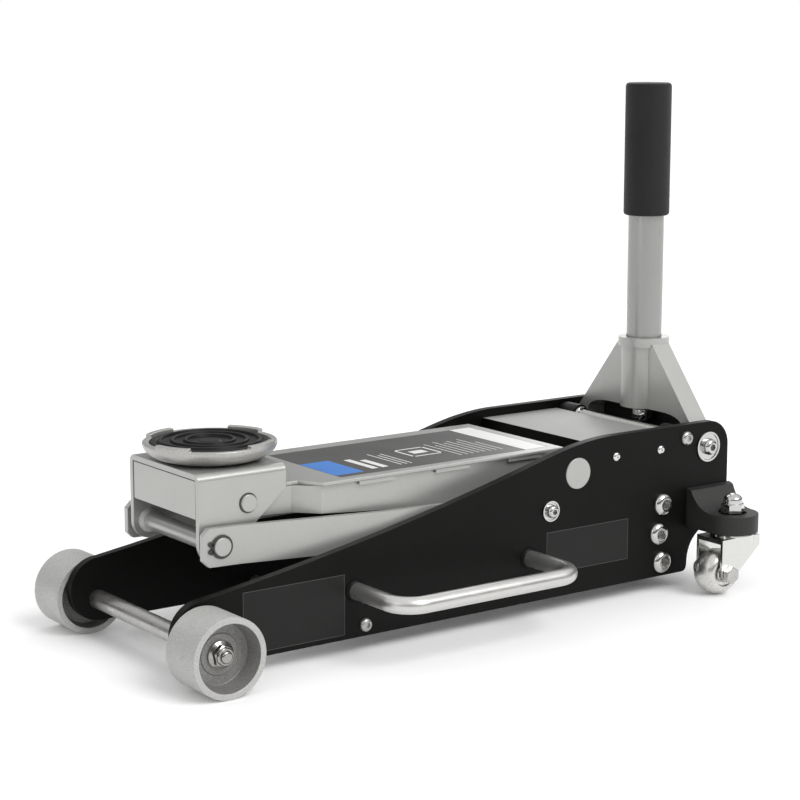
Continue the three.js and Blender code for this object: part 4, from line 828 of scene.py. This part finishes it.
def makeCrossPins():
    for node, name, body, slot in (
        ("arm_nose_pin", "nose_pin_bar", "arm", "grey_paint"),
        ("bracket_cross_pin", "cross_pin_bar", "bracket", "brushed_steel"),
    ):
        low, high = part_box(node)
        radius = (high.z - low.z) / 2
        centre = middleOf(node) * Vector((1, 0, 1))
        bar = turned(name, [(radius, low.y), (radius, high.y)], centre, (0, 1, 0), 56)
        rounded(bar, 0.8 * mm, 3)
        finished(bar, name, body, slot, finishes["greyPaint"], node)
    makeCirclips(radius, centre)
    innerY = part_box("bracket_front_plate")[1].y
    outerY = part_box("saddle_bracket")[1].y
    noseLow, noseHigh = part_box("arm_nose_pin")
    noseRadius = (noseHigh.z - noseLow.z) / 2
    gapIn = noseRadius + pins["fit"]
    gapOut = noseRadius + pins["gapRing"]
    gapY = outerY + pins["gapDepth"]
    for side, sign in sides.items():
        bead = [(radius + over * mm, innerY - inward * mm) for over, inward in pins["weld"]]
        weld = turned("weld", bead, centre, (0, sign, 0), 40)
        finished(weld, "cross_pin_weld_" + side, "bracket", "grey_paint", finishes["castGrey"])
        # A thin dark ring round the nose pin: a painted shadow for the gap between the pin and the bracket.
        ring = turned("ring", [
            (gapIn, outerY), (gapOut, outerY), (gapOut, gapY), (gapIn, gapY), (gapIn, outerY),
        ], middleOf("arm_nose_pin") * Vector((1, 0, 1)), (0, sign, 0), 56)
        finished(ring, "nose_pin_shadow_ring_" + side, "bracket", "dark_steel", finishes["darkSteel"])
    print("pins made")


# Spring clips outside the links, with the two eyelets that pliers open them by
circlip = {
    "wide": 1.9 * mm, "thick": 1.1 * mm, "eyelet": 2.1 * mm, "hole": 0.8 * mm, "spread": 17.0,
    "reach": 0.8 * mm, "linkFaceY": 60.5 * mm, "gap": 0.35 * mm, "fit": 0.03 * mm,
}


def makeCirclips(pinRadius, centre):
    c = circlip
    y0 = c["linkFaceY"] + c["gap"]
    y1 = y0 + c["thick"]
    inner = pinRadius + c["fit"]
    outer = pinRadius + c["wide"]
    for side, sign in sides.items():
        ring = turned("ring", [(inner, y0), (outer, y0), (outer, y1), (inner, y1), (inner, y0)],
                      centre, (0, sign, 0), 64)
        for lean in (-c["spread"], c["spread"]):
            angle = math.radians(180 + lean)
            reach = pinRadius + c["wide"] + c["reach"]
            place = centre + Vector((math.cos(angle) * reach, 0, math.sin(angle) * reach))
            eyelet = turned("eyelet", [
                (c["hole"], y0), (c["eyelet"], y0), (c["eyelet"], y1), (c["hole"], y1), (c["hole"], y0),
            ], place, (0, sign, 0), 28)
            ring = joined(ring, eyelet)
        rounded(ring, 0.15 * mm, 2)
        finished(ring, "cross_pin_clip_" + side, "bracket", "dark_steel", finishes["darkSteel"])


makeBolts()
makePivotShaft()
makeCrossPins()


# Tie rods: the rear one has black spacer sleeves and a bright collar at each end
tieRods = {
    # rod radius, head radius and finish of each rod
    "rods": {
        "front_tie_rod": (5.5 * mm, 5.4 * mm, "turnedSteel"),
        "rear_tie_rod": (5.2 * mm, 6.2 * mm, "zincRod"),
    },
    "neck": 2.9 * mm, "bore": 5.3 * mm, "sleeve": 9.2 * mm, "sleeveLength": 21 * mm, "collar": 7.5 * mm,
    "collarLength": 3 * mm, "collarSlope": 1.1 * mm,
}


def makeTieRods():
    t = tieRods
    innerY, plateY = (corner.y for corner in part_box("side_plate_right"))
    for node, (rod, head, finish) in t["rods"].items():
        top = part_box(node)[1].y
        centre = middleOf(node) * Vector((1, 0, 1))
        dome = domeRings(head, top - plateY, head * 0.5, plateY, 5)
        half = [(rod, innerY), (t["neck"], innerY), (t["neck"], plateY)] + dome
        bar = turned(node, [(r, -y) for r, y in half[::-1]] + half, centre, (0, 1, 0), 48)
        for sign in (-1, 1):
            keySocket(bar, head * 0.48, (top - plateY) * 0.5, top, centre, (0, sign, 0))
        finished(bar, node + "_bar", "frame", "brushed_steel", finishes[finish], node)
    bore = t["bore"]
    start = innerY - t["sleeveLength"]
    end = innerY - 0.05 * mm
    collarStart = start - t["collarLength"]
    collarEnd = start - 0.1 * mm
    for side, sign in sides.items():
        sleeve = turned("sleeve", [
            (bore, start), (t["sleeve"], start), (t["sleeve"], end), (bore, end), (bore, start),
        ], centre, (0, sign, 0), 56)
        rounded(sleeve, 0.6 * mm, 3)
        finished(sleeve, "rear_tie_spacer_" + side, "frame", "brushed_steel", finishes["blackRubber"])
        collar = turned("collar", [
            (bore, collarStart), (t["collar"] - t["collarSlope"], collarStart),
            (t["collar"], collarStart + t["collarSlope"]), (t["collar"], collarEnd), (bore, collarEnd),
            (bore, collarStart),
        ], centre, (0, sign, 0), 48)
        rounded(collar, 0.25 * mm, 2)
        finished(collar, "rear_tie_collar_" + side, "frame", "brushed_steel", finishes["chromePlate"])
    print("tie rods made")


makeTieRods()


# Small screws that hold the unit cover, two on each side
coverScrews = {
    "radius": 3.9 * mm, "height": 2.3 * mm,
    "fromFront": 15.7 * mm, "fromRear": 19.3 * mm, "below": 11.0 * mm,  # from the unit cover's edges
}


def makeCoverScrews():
    s = coverScrews
    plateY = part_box("side_plate_right")[1].y
    low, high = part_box("unit_cover")
    for side, sign in sides.items():
        for end, x in (("front", low.x + s["fromFront"]), ("rear", high.x - s["fromRear"])):
            place = Vector((x, 0, high.z - s["below"]))
            face = plateY + 0.02 * mm
            screw = turned("screw", domeRings(s["radius"], s["height"], s["radius"] * 0.35, face, 6),
                           place, (0, sign, 0), 40)
            keySocket(screw, s["radius"] * 0.32, s["height"] * 0.5, face + s["height"], place, (0, sign, 0))
            name = "cover_screw_" + end + "_" + side
            finished(screw, name, "frame", "bright_steel", finishes["brightZinc"])
    print("cover screws made")


makeCoverScrews()

# Saddle: a cast dish with four raised teeth on its rim and a ribbed rubber pad
saddle = {
    "turn": 24.0, "teeth": 4, "toothSpan": 36.0, "tooth": 2.6 * mm, "rimWall": 5.2 * mm, "count": 120,
    # radius and height over the bracket of the dish's underside, in mm
    "bore": 8.95 * mm, "under": ((34, 0), (38, 0.7), (43, 2.4), (47.2, 4.8), (50, 7.6)),
    "rimFoot": (0.6 * mm, 9.8 * mm, 11.4 * mm), "well": 6 * mm, "lift": 0.3 * mm,
}
saddlePad = {
    "crests": (38.4 * mm, 28.6 * mm, 18.6 * mm), "groove": 2.3 * mm, "edge": 1.4 * mm, "shoulder": 41.5 * mm,
    # one ridge from its outer foot to its inner one: out from its crest in mm, and at which height
    "ridge": ((2.0, "foot"), (1.2, "slope"), (0.5, "top"), (-0.5, "top"), (-1.2, "slope"), (-2.0, "foot")),
    "button": 9 * mm, "buttonTop": 8 * mm, "buttonHeight": 0.9 * mm,
}


def makeSaddleDish():
    s = saddle
    low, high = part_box("saddle_dish")
    centre = Vector(((low.x + high.x) / 2, (low.y + high.y) / 2, 0))
    rim = (high.x - low.x) / 2
    rimZ = high.z - s["tooth"]
    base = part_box("saddle_bracket")[1].z + s["lift"]
    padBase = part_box("saddle_pad")[0].z
    inner = rim - s["rimWall"]
    slope, footZ, sideZ = s["rimFoot"]
    rings = [(s["bore"], low.z), (s["bore"], base)]
    rings += [(r * mm, base + z * mm) for r, z in s["under"]]
    rings += [
        (rim - slope, base + footZ), (rim, base + sideZ), (rim, rimZ), (inner, rimZ), (inner, padBase),
        (s["well"], padBase),
    ]
    dish = turned("dish", rings, centre, (0, 0, 1), s["count"])
    half = math.radians(s["toothSpan"] / 2)
    step = 2 * math.pi / s["teeth"]
    workOn(dish)
    for face in dish.data.polygons:
        spoke = face.center - centre
        angle = (math.atan2(spoke.y, spoke.x) - math.radians(s["turn"]) + step / 2) % step - step / 2
        onRim = abs(face.center.z - rimZ) < 0.05 * mm and math.hypot(spoke.x, spoke.y) > inner
        face.select = onRim and abs(angle) < half
    for edge in dish.data.edges:
        edge.select = False
    for vertex in dish.data.vertices:
        vertex.select = False
    for face in dish.data.polygons:
        if face.select:
            for index in face.vertices:
                dish.data.vertices[index].select = True
    bpy.ops.object.mode_set(mode="EDIT")
    bpy.ops.mesh.select_mode(type="FACE")
    bpy.ops.mesh.extrude_region_move(TRANSFORM_OT_translate={"value": (0, 0, s["tooth"])})
    bpy.ops.mesh.select_mode(type="VERT")
    bpy.ops.object.mode_set(mode="OBJECT")
    rounded(dish, 0.9 * mm, 3, 32)
    finished(dish, "saddle_casting", "saddle", "cast_grey", finishes["saddleCast"], "saddle_dish")
    return centre


def makeSaddlePad(centre):
    p = saddlePad
    low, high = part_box("saddle_pad")
    outer = (high.x - low.x) / 2
    groove = high.z - p["groove"]
    heights = {"foot": groove, "slope": high.z - 0.2 * mm, "top": high.z}
    pad = [
        (outer, low.z), (outer, high.z - p["edge"] - 1 * mm), (outer - p["edge"], high.z - p["edge"]),
        (p["shoulder"], high.z - p["edge"] - 0.1 * mm),
    ]
    for crest in p["crests"]:
        pad += [(crest + out * mm, heights[part]) for out, part in p["ridge"]]
    pad += [(p["button"], groove), (p["buttonTop"], groove + p["buttonHeight"])]
    rubber = turned("pad", pad, centre, (0, 0, 1), 112)
    rounded(rubber, 0.3 * mm, 2, 35)
    finished(rubber, "saddle_rubber", "saddle", "rubber", finishes["blackRubber"], "saddle_pad")
    print("saddle made")


makeSaddlePad(makeSaddleDish())


# Carry handles: a round bar bent twice, with a dark bead where it meets the plate
carryHandle = {
    "radius": 6.75 * mm, "bend": 20 * mm, "steps": 14,
    # each ring of a bead: over the bar's radius, and out from the plate
    "bead": ((0, -0.5), (2.2, -0.5), (2.2, 0.2), (1.3, 1.6), (0.02, 2.4), (0, -0.5)),
}


def makeCarryHandles():
    c = carryHandle
    radius = c["radius"]
    bend = c["bend"]
    for side, sign in sides.items():
        node = "carry_handle_" + side
        low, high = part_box(node)
        z = (low.z + high.z) / 2
        frontX = low.x + radius
        rearX = high.x - radius
        plateY = min(abs(low.y), abs(high.y))
        reachY = max(abs(low.y), abs(high.y)) - radius
        deselectAll()
        bpy.ops.mesh.primitive_circle_add(
            vertices=36, radius=radius, fill_type="NGON", location=(frontX, sign * plateY, z),
            rotation=(math.pi / 2, 0, 0),
        )
        bar = bpy.context.object
        bpy.ops.object.mode_set(mode="EDIT")
        outward = sign * (reachY - plateY - bend)
        along = rearX - frontX - 2 * bend
        bendY = sign * (reachY - bend)
        quarter = sign * math.pi / 2
        bpy.ops.mesh.extrude_region_move(TRANSFORM_OT_translate={"value": (0, outward, 0)})
        bpy.ops.mesh.spin(steps=c["steps"], angle=quarter, center=(frontX + bend, bendY, z), axis=(0, 0, 1))
        bpy.ops.mesh.extrude_region_move(TRANSFORM_OT_translate={"value": (along, 0, 0)})
        bpy.ops.mesh.spin(steps=c["steps"], angle=quarter, center=(rearX - bend, bendY, z), axis=(0, 0, 1))
        bpy.ops.mesh.extrude_region_move(TRANSFORM_OT_translate={"value": (0, -outward, 0)})
        bpy.ops.object.mode_set(mode="OBJECT")
        settle(bar)
        facesOut(bar, 0.01 * mm)
        finished(bar, node + "_bar", "frame", "brushed_steel", finishes["satinHandle"], node)
        for end, x in (("front", frontX), ("rear", rearX)):
            rings = [(radius + over * mm, plateY + out * mm) for over, out in c["bead"]]
            bead = turned("bead", rings, (x, 0, z), (0, sign, 0), 40)
            name = "carry_handle_" + side + "_" + end + "_bead"
            finished(bead, name, "frame", "black_plate", finishes["blackPlate"])
    print("carry handles made")


makeCarryHandles()


# Operating handle: a painted tube, a foam grip and the spindle that works the release valve
handle = {
    "wall": 2 * mm, "capBore": 2 * mm, "cap": 2.5 * mm, "gripBore": 0.05 * mm,
    "spindleHead": 9.5 * mm, "spindleShank": 7.6 * mm, "spigot": 13.1 * mm, "spigotZ": 151 * mm,
    "headHeight": 14.2 * mm,
    # radius and height of the spindle's rounded end, in mm
    "spindleEnd": ((3.5, 0), (6.5, 0.6), (8.4, 1.9)),
}


def makeHandle():
    h = handle
    centre = middleOf("handle_tube") * Vector((1, 0, 0))
    low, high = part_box("handle_tube")
    radius = (high.x - low.x) / 2
    inner = radius - h["wall"]
    rings = [(inner, low.z), (radius, low.z), (radius, high.z), (inner, high.z), (inner, low.z)]
    tube = rounded(turned("tube", rings, centre, (0, 0, 1), 72), 0.4 * mm, 2)
    finished(tube, "handle_steel_tube", "handle", "brushed_steel", finishes["handleTube"], "handle_tube")
    low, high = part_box("handle_grip")
    grip = (high.x - low.x) / 2
    bore = radius + h["gripBore"]
    foam = turned("grip", [
        (bore, low.z), (bore + 1 * mm, low.z), (grip - 2.2 * mm, low.z), (grip - 0.7 * mm, low.z + 0.7 * mm),
        (grip, low.z + 2.4 * mm), (grip, high.z - 3 * mm), (grip - 0.8 * mm, high.z - 0.9 * mm),
        (grip - 2.6 * mm, high.z), (h["capBore"], high.z), (h["capBore"], high.z - h["cap"]),
        (bore, high.z - h["cap"]), (bore, low.z),
    ], centre, (0, 0, 1), 88)
    finished(foam, "handle_foam_grip", "handle", "foam", finishes["blackFoam"], "handle_grip")
    low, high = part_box("release_spindle")
    head = h["spindleHead"]
    shank = h["spindleShank"]
    headTop = low.z + h["headHeight"]
    rings = [(r * mm, low.z + z * mm) for r, z in h["spindleEnd"]]
    rings += [
        (head, low.z + 4.2 * mm), (head, headTop - 3.6 * mm), (head - 0.9 * mm, headTop - 1.2 * mm),
        (shank, headTop - 0.4 * mm), (shank, h["spigotZ"]), (h["spigot"], h["spigotZ"]),
        (h["spigot"], high.z),
    ]
    spindle = turned("spindle", rings, centre, (0, 0, 1), 56)
    name = "release_spindle_turned"
    finished(spindle, name, "handle", "bright_steel", finishes["chromePlate"], "release_spindle")
    print("handle made")


makeHandle()

# Casters: bright forks on ball races, crowned wheels and acorn nuts
casterFit = {
    # radius and how far in from the wheel's side, in mm, of the rings round its hub
    "bore": 4.06 * mm, "hub": ((6.5, 1.2), (7.2, 2.0), (10.5, 2.0), (11.5, 0.2)), "side": 12.6 * mm,
    "shaft": 3.98 * mm, "axleHead": 7.5 * mm, "axleNut": 7.3 * mm, "axleHex": 4.9 * mm,
    "pin": 4.95 * mm, "seat": 66.4 * mm, "hexCorner": 10.3 * mm, "hexHeight": 10 * mm, "dome": 8.2 * mm,
    "raceRadius": 18.5 * mm, "raceNeck": 15 * mm, "raceBore": 5.3 * mm, "raceGap": 0.15 * mm,
    "curveSteps": 9,
}


# Points of a quarter turn, as cosine and sine, without its two ends.
def quarterTurn(steps):
    angles = [math.pi / 2 * i / steps for i in range(1, steps)]
    return [(math.cos(angle), math.sin(angle)) for angle in angles]


def makeCasterWheel(side, sign):
    c = casterFit
    node = "caster_wheel_" + side
    low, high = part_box(node)
    radius = (high.z - low.z) / 2
    half = (high.y - low.y) / 2
    crown = [(c["bore"], half - 1.2 * mm)]
    crown += [(r * mm, half - inward * mm) for r, inward in c["hub"]]
    crown.append((c["side"], half))
    for cosine, sine in quarterTurn(c["curveSteps"]):
        crown.append((c["side"] + (radius - c["side"]) * sine, half * cosine))
    rings = crown + [(radius, 0)] + [(r, -y) for r, y in crown[::-1]] + [crown[0]]
    wheel = turned(node, rings, middleOf(node), (0, sign, 0), 72)
    finished(wheel, node + "_turned", node, "bright_steel", finishes["wheelZinc"], node)


def makeCasterAxle(side, sign):
    c = casterFit
    node = "caster_axle_" + side
    low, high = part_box(node)
    inner, outer = sorted((abs(low.y), abs(high.y)))
    hexHeight = c["axleHex"]
    middle = middleOf("caster_wheel_" + side) * Vector((1, 0, 1))
    ends = [(c["shaft"], inner), (c["shaft"], outer - hexHeight + 0.3 * mm)]
    shaft = turned("shaft", ends, middle, (0, sign, 0), 40)
    headPlace = middle + Vector((0, sign * (outer - hexHeight), 0))
    nutPlace = middle + Vector((0, sign * (inner + hexHeight), 0))
    head = hexHead("head", c["axleHead"], hexHeight, headPlace, (0, sign, 0))
    nut = hexHead("nut", c["axleNut"], hexHeight, nutPlace, (0, -sign, 0))
    axle = booled(booled(shaft, head, "UNION"), nut, "UNION")
    rounded(axle, 0.2 * mm, 2, 32)
    finished(axle, node + "_hex", "caster_" + side, "bright_steel", finishes["zincRod"], node)


def makeKingpin(side):
    c = casterFit
    node = "caster_kingpin_" + side
    low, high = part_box(node)
    pivot = middleOf(node) * Vector((1, 1, 0))
    hexTop = c["seat"] + c["hexHeight"]
    pin = turned("pin", [(c["pin"], low.z), (c["pin"], c["seat"] + 1 * mm)], pivot, (0, 0, 1), 40)
    nut = hexHead("nut", c["hexCorner"], c["hexHeight"], pivot + Vector((0, 0, c["seat"])), (0, 0, 1))
    domeHeight = high.z - hexTop
    dome = [(c["dome"], hexTop - 1 * mm), (c["dome"], hexTop + 0.35 * domeHeight)]
    for cosine, sine in quarterTurn(c["curveSteps"]):
        dome.append((c["dome"] * cosine, hexTop + domeHeight * (0.35 + 0.65 * sine)))
    acorn = turned("acorn", dome, pivot, (0, 0, 1), 56)
    pin = booled(booled(pin, nut, "UNION"), acorn, "UNION")
    rounded(pin, 0.2 * mm, 2, 36)
    finished(pin, node + "_acorn", "frame", "bright_steel", finishes["chromePlate"], node)
    bore = c["raceBore"]
    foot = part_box("caster_fork_" + side)[1].z + c["raceGap"]
    top = foot + 0.95 * mm
    race = turned("race", [
        (bore, foot), (c["raceRadius"], foot), (c["raceRadius"], foot + 0.35 * mm), (c["raceNeck"], top),
        (bore, top), (bore, foot),
    ], pivot, (0, 0, 1), 64)
    finished(race, "caster_race_" + side, "caster_" + side, "bright_steel", finishes["chromePlate"])


for side, sign in sides.items():
    makeCasterWheel(side, sign)
    makeCasterAxle(side, sign)
    makeKingpin(side)
print("casters made")


# Coil springs, which stretch between the frame and the piece that they push
springFit = {
    # coil radius, wire radius and turns
    "return": (5.5 * mm, 0.8 * mm, 14), "pump": (7.8 * mm, 0.8 * mm, 6), "around": 14, "steps": 26,
}


def makeSpring(node, kind, movesFirst):
    coil, wire, turns = springFit[kind]
    low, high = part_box(node)
    length = high.x - low.x
    deselectAll()
    bpy.ops.mesh.primitive_circle_add(
        vertices=springFit["around"], radius=wire, fill_type="NOTHING", location=(coil, 0, wire),
        rotation=(math.pi / 2, 0, 0),
    )
    spring = settle(bpy.context.object)
    count = springFit["steps"] * turns
    useModifier(
        spring, "SCREW", axis="Z", angle=2 * math.pi * turns, screw_offset=length - 2 * wire, steps=count,
        render_steps=count,
    )
    workOn(spring, "EDIT")
    bpy.ops.mesh.select_all(action="SELECT")
    bpy.ops.mesh.remove_doubles(threshold=0.002 * mm)
    bpy.ops.mesh.fill_holes(sides=0)
    bpy.ops.object.mode_set(mode="OBJECT")
    facesOut(spring)
    placed(spring, Vector((low.x, (low.y + high.y) / 2, (low.z + high.z) / 2)), (1, 0, 0))
    finished(spring, node + "_coil", None, "spring_steel", finishes["springSteel"], node, smooth=50)
    if movesFirst:
        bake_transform(spring)
    else:
        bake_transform(spring)


makeSpring("return_spring_left", "return", True)
makeSpring("return_spring_right", "return", True)
makeSpring("pump_spring", "pump", False)
print("springs made")


# A small block between two corners, with fine rounded edges.
def slab(low, high, edge=0.05 * mm):
    deselectAll()
    low = Vector(low)
    high = Vector(high)
    bpy.ops.mesh.primitive_cube_add(size=1, location=(low + high) / 2, scale=high - low)
    return rounded(settle(bpy.context.object), edge, 2)


# Plain stickers: an unlettered label on the arm cover and two dark panels on each side plate
armLabel = {
    "fromFront": 44 * mm, "length": 207 * mm, "nearMargin": 9.5 * mm, "farMargin": 15.5 * mm,
    "film": 0.12 * mm,
    # blocks and pale rules: start and end along the arm, then start and end across it from the near edge
    "blue": (0 * mm, 27 * mm, 7 * mm, 58 * mm), "white": (184 * mm, 206 * mm, 0 * mm, 104 * mm),
    "rules": (
        (38, 44, 12, 52), (48, 54, 12, 44), (66, 67.2, 12, 60), (71, 72.2, 12, 52), (76, 77.2, 12, 56),
        (128, 129, 14, 66), (134, 135, 14, 58), (140, 141, 14, 70), (146, 147, 14, 62),
        (152, 153, 14, 66), (158, 159, 14, 60), (164, 165, 14, 68), (170, 171, 14, 50),
    ),
    "panels": (
        (92, 122, 30, 32), (92, 122, 58, 60), (92, 94, 30, 60), (120, 122, 30, 60), (100, 114, 40, 50),
    ),
}


def makeArmLabel():
    a = armLabel
    low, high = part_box("arm_top_cover")
    startX = low.x + a["fromFront"]
    nearY = low.y + a["nearMargin"]
    farY = high.y - a["farMargin"]
    top = high.z
    film = a["film"]
    field = slab((startX, nearY, top - film), (startX + a["length"], farY, top + film))
    finished(field, "arm_label_field", "arm", "grey_paint", finishes["labelDark"])
    for key, finish in (("blue", "labelBlue"), ("white", "labelWhite")):
        x0, x1, y0, y1 = a[key]
        block = slab((startX + x0, nearY + y0, top), (startX + x1, nearY + y1, top + film * 1.6))
        finished(block, "arm_label_" + key, "arm", "grey_paint", finishes[finish])
    bars = []
    for x0, x1, y0, y1 in a["rules"] + a["panels"]:
        low = (startX + x0 * mm, nearY + y0 * mm, top)
        high = (startX + x1 * mm, nearY + y1 * mm, top + film * 1.5)
        bars.append(slab(low, high, 0.02 * mm))
    finished(joined(*bars), "arm_label_rules", "arm", "grey_paint", finishes["labelWhite"])
    print("arm label made")


plateSticker = {
    "film": 0.12 * mm, "border": 0.45 * mm,
    # start and end along the jack, then foot and top above the floor, in mm
    "front": (-215.0, -124.8, 17.0, 64.0), "rear": (76.3, 164.3, 34.0, 68.0),
}


def makePlateStickers():
    p = plateSticker
    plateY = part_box("side_plate_right")[1].y
    film = p["film"]
    for side, sign in sides.items():
        for end in ("front", "rear"):
            x0, x1, z0, z1 = (value * mm for value in p[end])
            for part, grow, height, finish in (
                ("border", p["border"], film, "labelBorder"), ("panel", 0.0, film * 1.5, "labelBlack"),
            ):
                y0, y1 = sorted((sign * (plateY - film), sign * (plateY + height)))
                panel = slab((x0 - grow, y0, z0 - grow), (x1 + grow, y1, z1 + grow))
                name = "sticker_" + end + "_" + part + "_" + side
                finished(panel, name, "frame", "black_plate", finishes[finish])
    print("plate stickers made")


makeArmLabel()
makePlateStickers()


# Small sheet details: tabs under the cover's edges, the seam round the bracket's front plate and the
# black plate over the back of the handle socket's arch, whose black is painted shade for the hollow behind
# the arch
sheetDetails = {
    # the tabs' starts and ends along the jack, in mm
    "tabs": ((-96, -62), (-22, 12), (52, 86)), "tabDrop": 3.2 * mm, "tabSheet": 1.4 * mm,
    "tabInset": 1.2 * mm, "seam": 0.9 * mm,
    "archHalf": 64 * mm, "archLow": 121 * mm, "archHigh": 144.5 * mm, "archSheet": 1.3 * mm,
    "archBack": 11.2 * mm,  # from the handle's axis to the plate's rear face
}


def makeSheetDetails():
    d = sheetDetails
    low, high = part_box("arm_top_cover")
    tabs = []
    outer = high.y - d["tabInset"]
    foot = low.z - d["tabDrop"]
    for sign in sides.values():
        for x0, x1 in d["tabs"]:
            y0, y1 = sorted((sign * outer, sign * (outer - d["tabSheet"])))
            tabs.append(slab((x0 * mm, y0, foot), (x1 * mm, y1, low.z + 0.5 * mm), 0.3 * mm))
    finished(joined(*tabs), "cover_edge_tabs", "arm", "grey_paint", finishes["greyPaint"])
    low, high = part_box("bracket_front_plate")
    seam = d["seam"]
    front = low.x - 0.1 * mm
    bars = [slab((front, low.y, high.z - seam), (front + seam, high.y, high.z), 0.1 * mm)]
    for y0, y1 in ((low.y, low.y + seam), (high.y - seam, high.y)):
        bars.append(slab((front, y0, low.z), (front + seam, y1, high.z), 0.1 * mm))
    finished(joined(*bars), "front_plate_seam", "bracket", "grey_paint", finishes["darkSteel"])
    # The black plate behind the arch: painted shade for the hollow inside the socket.
    rear = middleOf("handle_socket").x + d["archBack"]
    half = d["archHalf"]
    web = slab((rear - d["archSheet"], -half, d["archLow"]), (rear, half, d["archHigh"]), 0.3 * mm)
    finished(web, "socket_arch_shade_plate", "socket", "black_casting", finishes["blackCasting"])
    print("sheet details made")


makeSheetDetails()


# Camera, light and floor
studio = {
    "eye": (-1.00832, -1.37360, 0.47580), "target": (-0.01155, 0.0, 0.17575), "lens": 95.15, "sensor": 36.0,
    "floorHalf": 12.0, "floorColour": 0.93, "floorGlow": 0.07, "skyStrength": 1.0,
    "sunFrom": (0.35, -1.2, 1.25), "sunPower": 1.6, "sunAngle": 38.0, "lightTarget": (0.0, 0.0, 0.1),
    # place, width and height, and power of the strip lights
    "strips": {
        "leftStrip": ((-1.9, -0.4, 0.8), (0.25, 1.4), 2.0), "rearStrip": ((1.3, 1.2, 1.0), (0.4, 1.2), 3.0),
    },
}

# How bright the sky is at each height above the horizon: a dark band gives bright metal its contrast.
skyBands = ((0.0, 0.60), (0.06, 0.55), (0.12, 0.14), (0.30, 0.20), (0.44, 0.80), (1.0, 0.96))


def makeCamera():
    data = bpy.data.cameras.new("viewCamera")
    data.lens = studio["lens"]
    data.sensor_width = studio["sensor"]
    data.clip_end = 50.0
    camera = bpy.data.objects.new("viewCamera", data)
    bpy.context.scene.collection.objects.link(camera)
    eye = Vector(studio["eye"])
    camera.location = eye
    camera.rotation_euler = (Vector(studio["target"]) - eye).to_track_quat("-Z", "Y").to_euler()
    bpy.context.scene.camera = camera


def makeStrip(name, place, size, power):
    data = bpy.data.lights.new(name, "AREA")
    data.shape = "RECTANGLE"
    data.size, data.size_y = size
    data.energy = power
    light = bpy.data.objects.new(name, data)
    bpy.context.scene.collection.objects.link(light)
    light.location = place
    aim = Vector(studio["lightTarget"]) - Vector(place)
    light.rotation_euler = aim.to_track_quat("-Z", "Y").to_euler()


def makeFloor():
    deselectAll()
    bpy.ops.mesh.primitive_plane_add(size=2 * studio["floorHalf"], location=(0, 0, -0.0002))
    floor = bpy.context.object
    floor.name = "studioFloor"
    material = bpy.data.materials.new("studioFloor")
    material.use_nodes = True
    shader = material.node_tree.nodes["Principled BSDF"]
    shade = studio["floorColour"]
    shader.inputs["Base Color"].default_value = (shade, shade, shade, 1)
    shader.inputs["Roughness"].default_value = 0.9
    shader.inputs["Specular IOR Level"].default_value = 0.1
    shader.inputs["Emission Color"].default_value = (1, 1, 1, 1)
    shader.inputs["Emission Strength"].default_value = studio["floorGlow"]
    floor.data.materials.append(material)


def makeSky():
    world = bpy.data.worlds.new("studioSky")
    world.use_nodes = True
    tree = world.node_tree
    background = tree.nodes["Background"]
    coords = addNode(tree, "ShaderNodeTexCoord")
    split = addNode(tree, "ShaderNodeSeparateXYZ")
    ramp = addNode(tree, "ShaderNodeValToRGB")
    stops = ramp.color_ramp.elements
    for place, value in skyBands:
        stop = stops[0] if place == 0.0 else stops[-1] if place == 1.0 else stops.new(place)
        stop.color = (value, value, value, 1)
    seen = addNode(tree, "ShaderNodeLightPath")
    choose = addNode(tree, "ShaderNodeMix", data_type="RGBA")
    choose.inputs["B"].default_value = (1.0, 1.0, 1.0, 1.0)
    tree.links.new(coords.outputs["Generated"], split.inputs[0])
    tree.links.new(split.outputs["Z"], ramp.inputs[0])
    tree.links.new(seen.outputs["Is Camera Ray"], choose.inputs["Factor"])
    tree.links.new(ramp.outputs[0], choose.inputs["A"])
    tree.links.new(choose.outputs["Result"], background.inputs["Color"])
    background.inputs["Strength"].default_value = studio["skyStrength"]
    bpy.context.scene.world = world


def makeSun():
    data = bpy.data.lights.new("softSun", "SUN")
    data.energy = studio["sunPower"]
    data.angle = math.radians(studio["sunAngle"])
    sun = bpy.data.objects.new("softSun", data)
    bpy.context.scene.collection.objects.link(sun)
    place = Vector(studio["sunFrom"])
    sun.location = place
    sun.rotation_euler = (-place).to_track_quat("-Z", "Y").to_euler()


makeCamera()
makeSun()
for name, (place, size, power) in studio["strips"].items():
    makeStrip(name, place, size, power)
makeFloor()
makeSky()
bpy.context.scene.view_settings.view_transform = "Standard"
print("studio made")
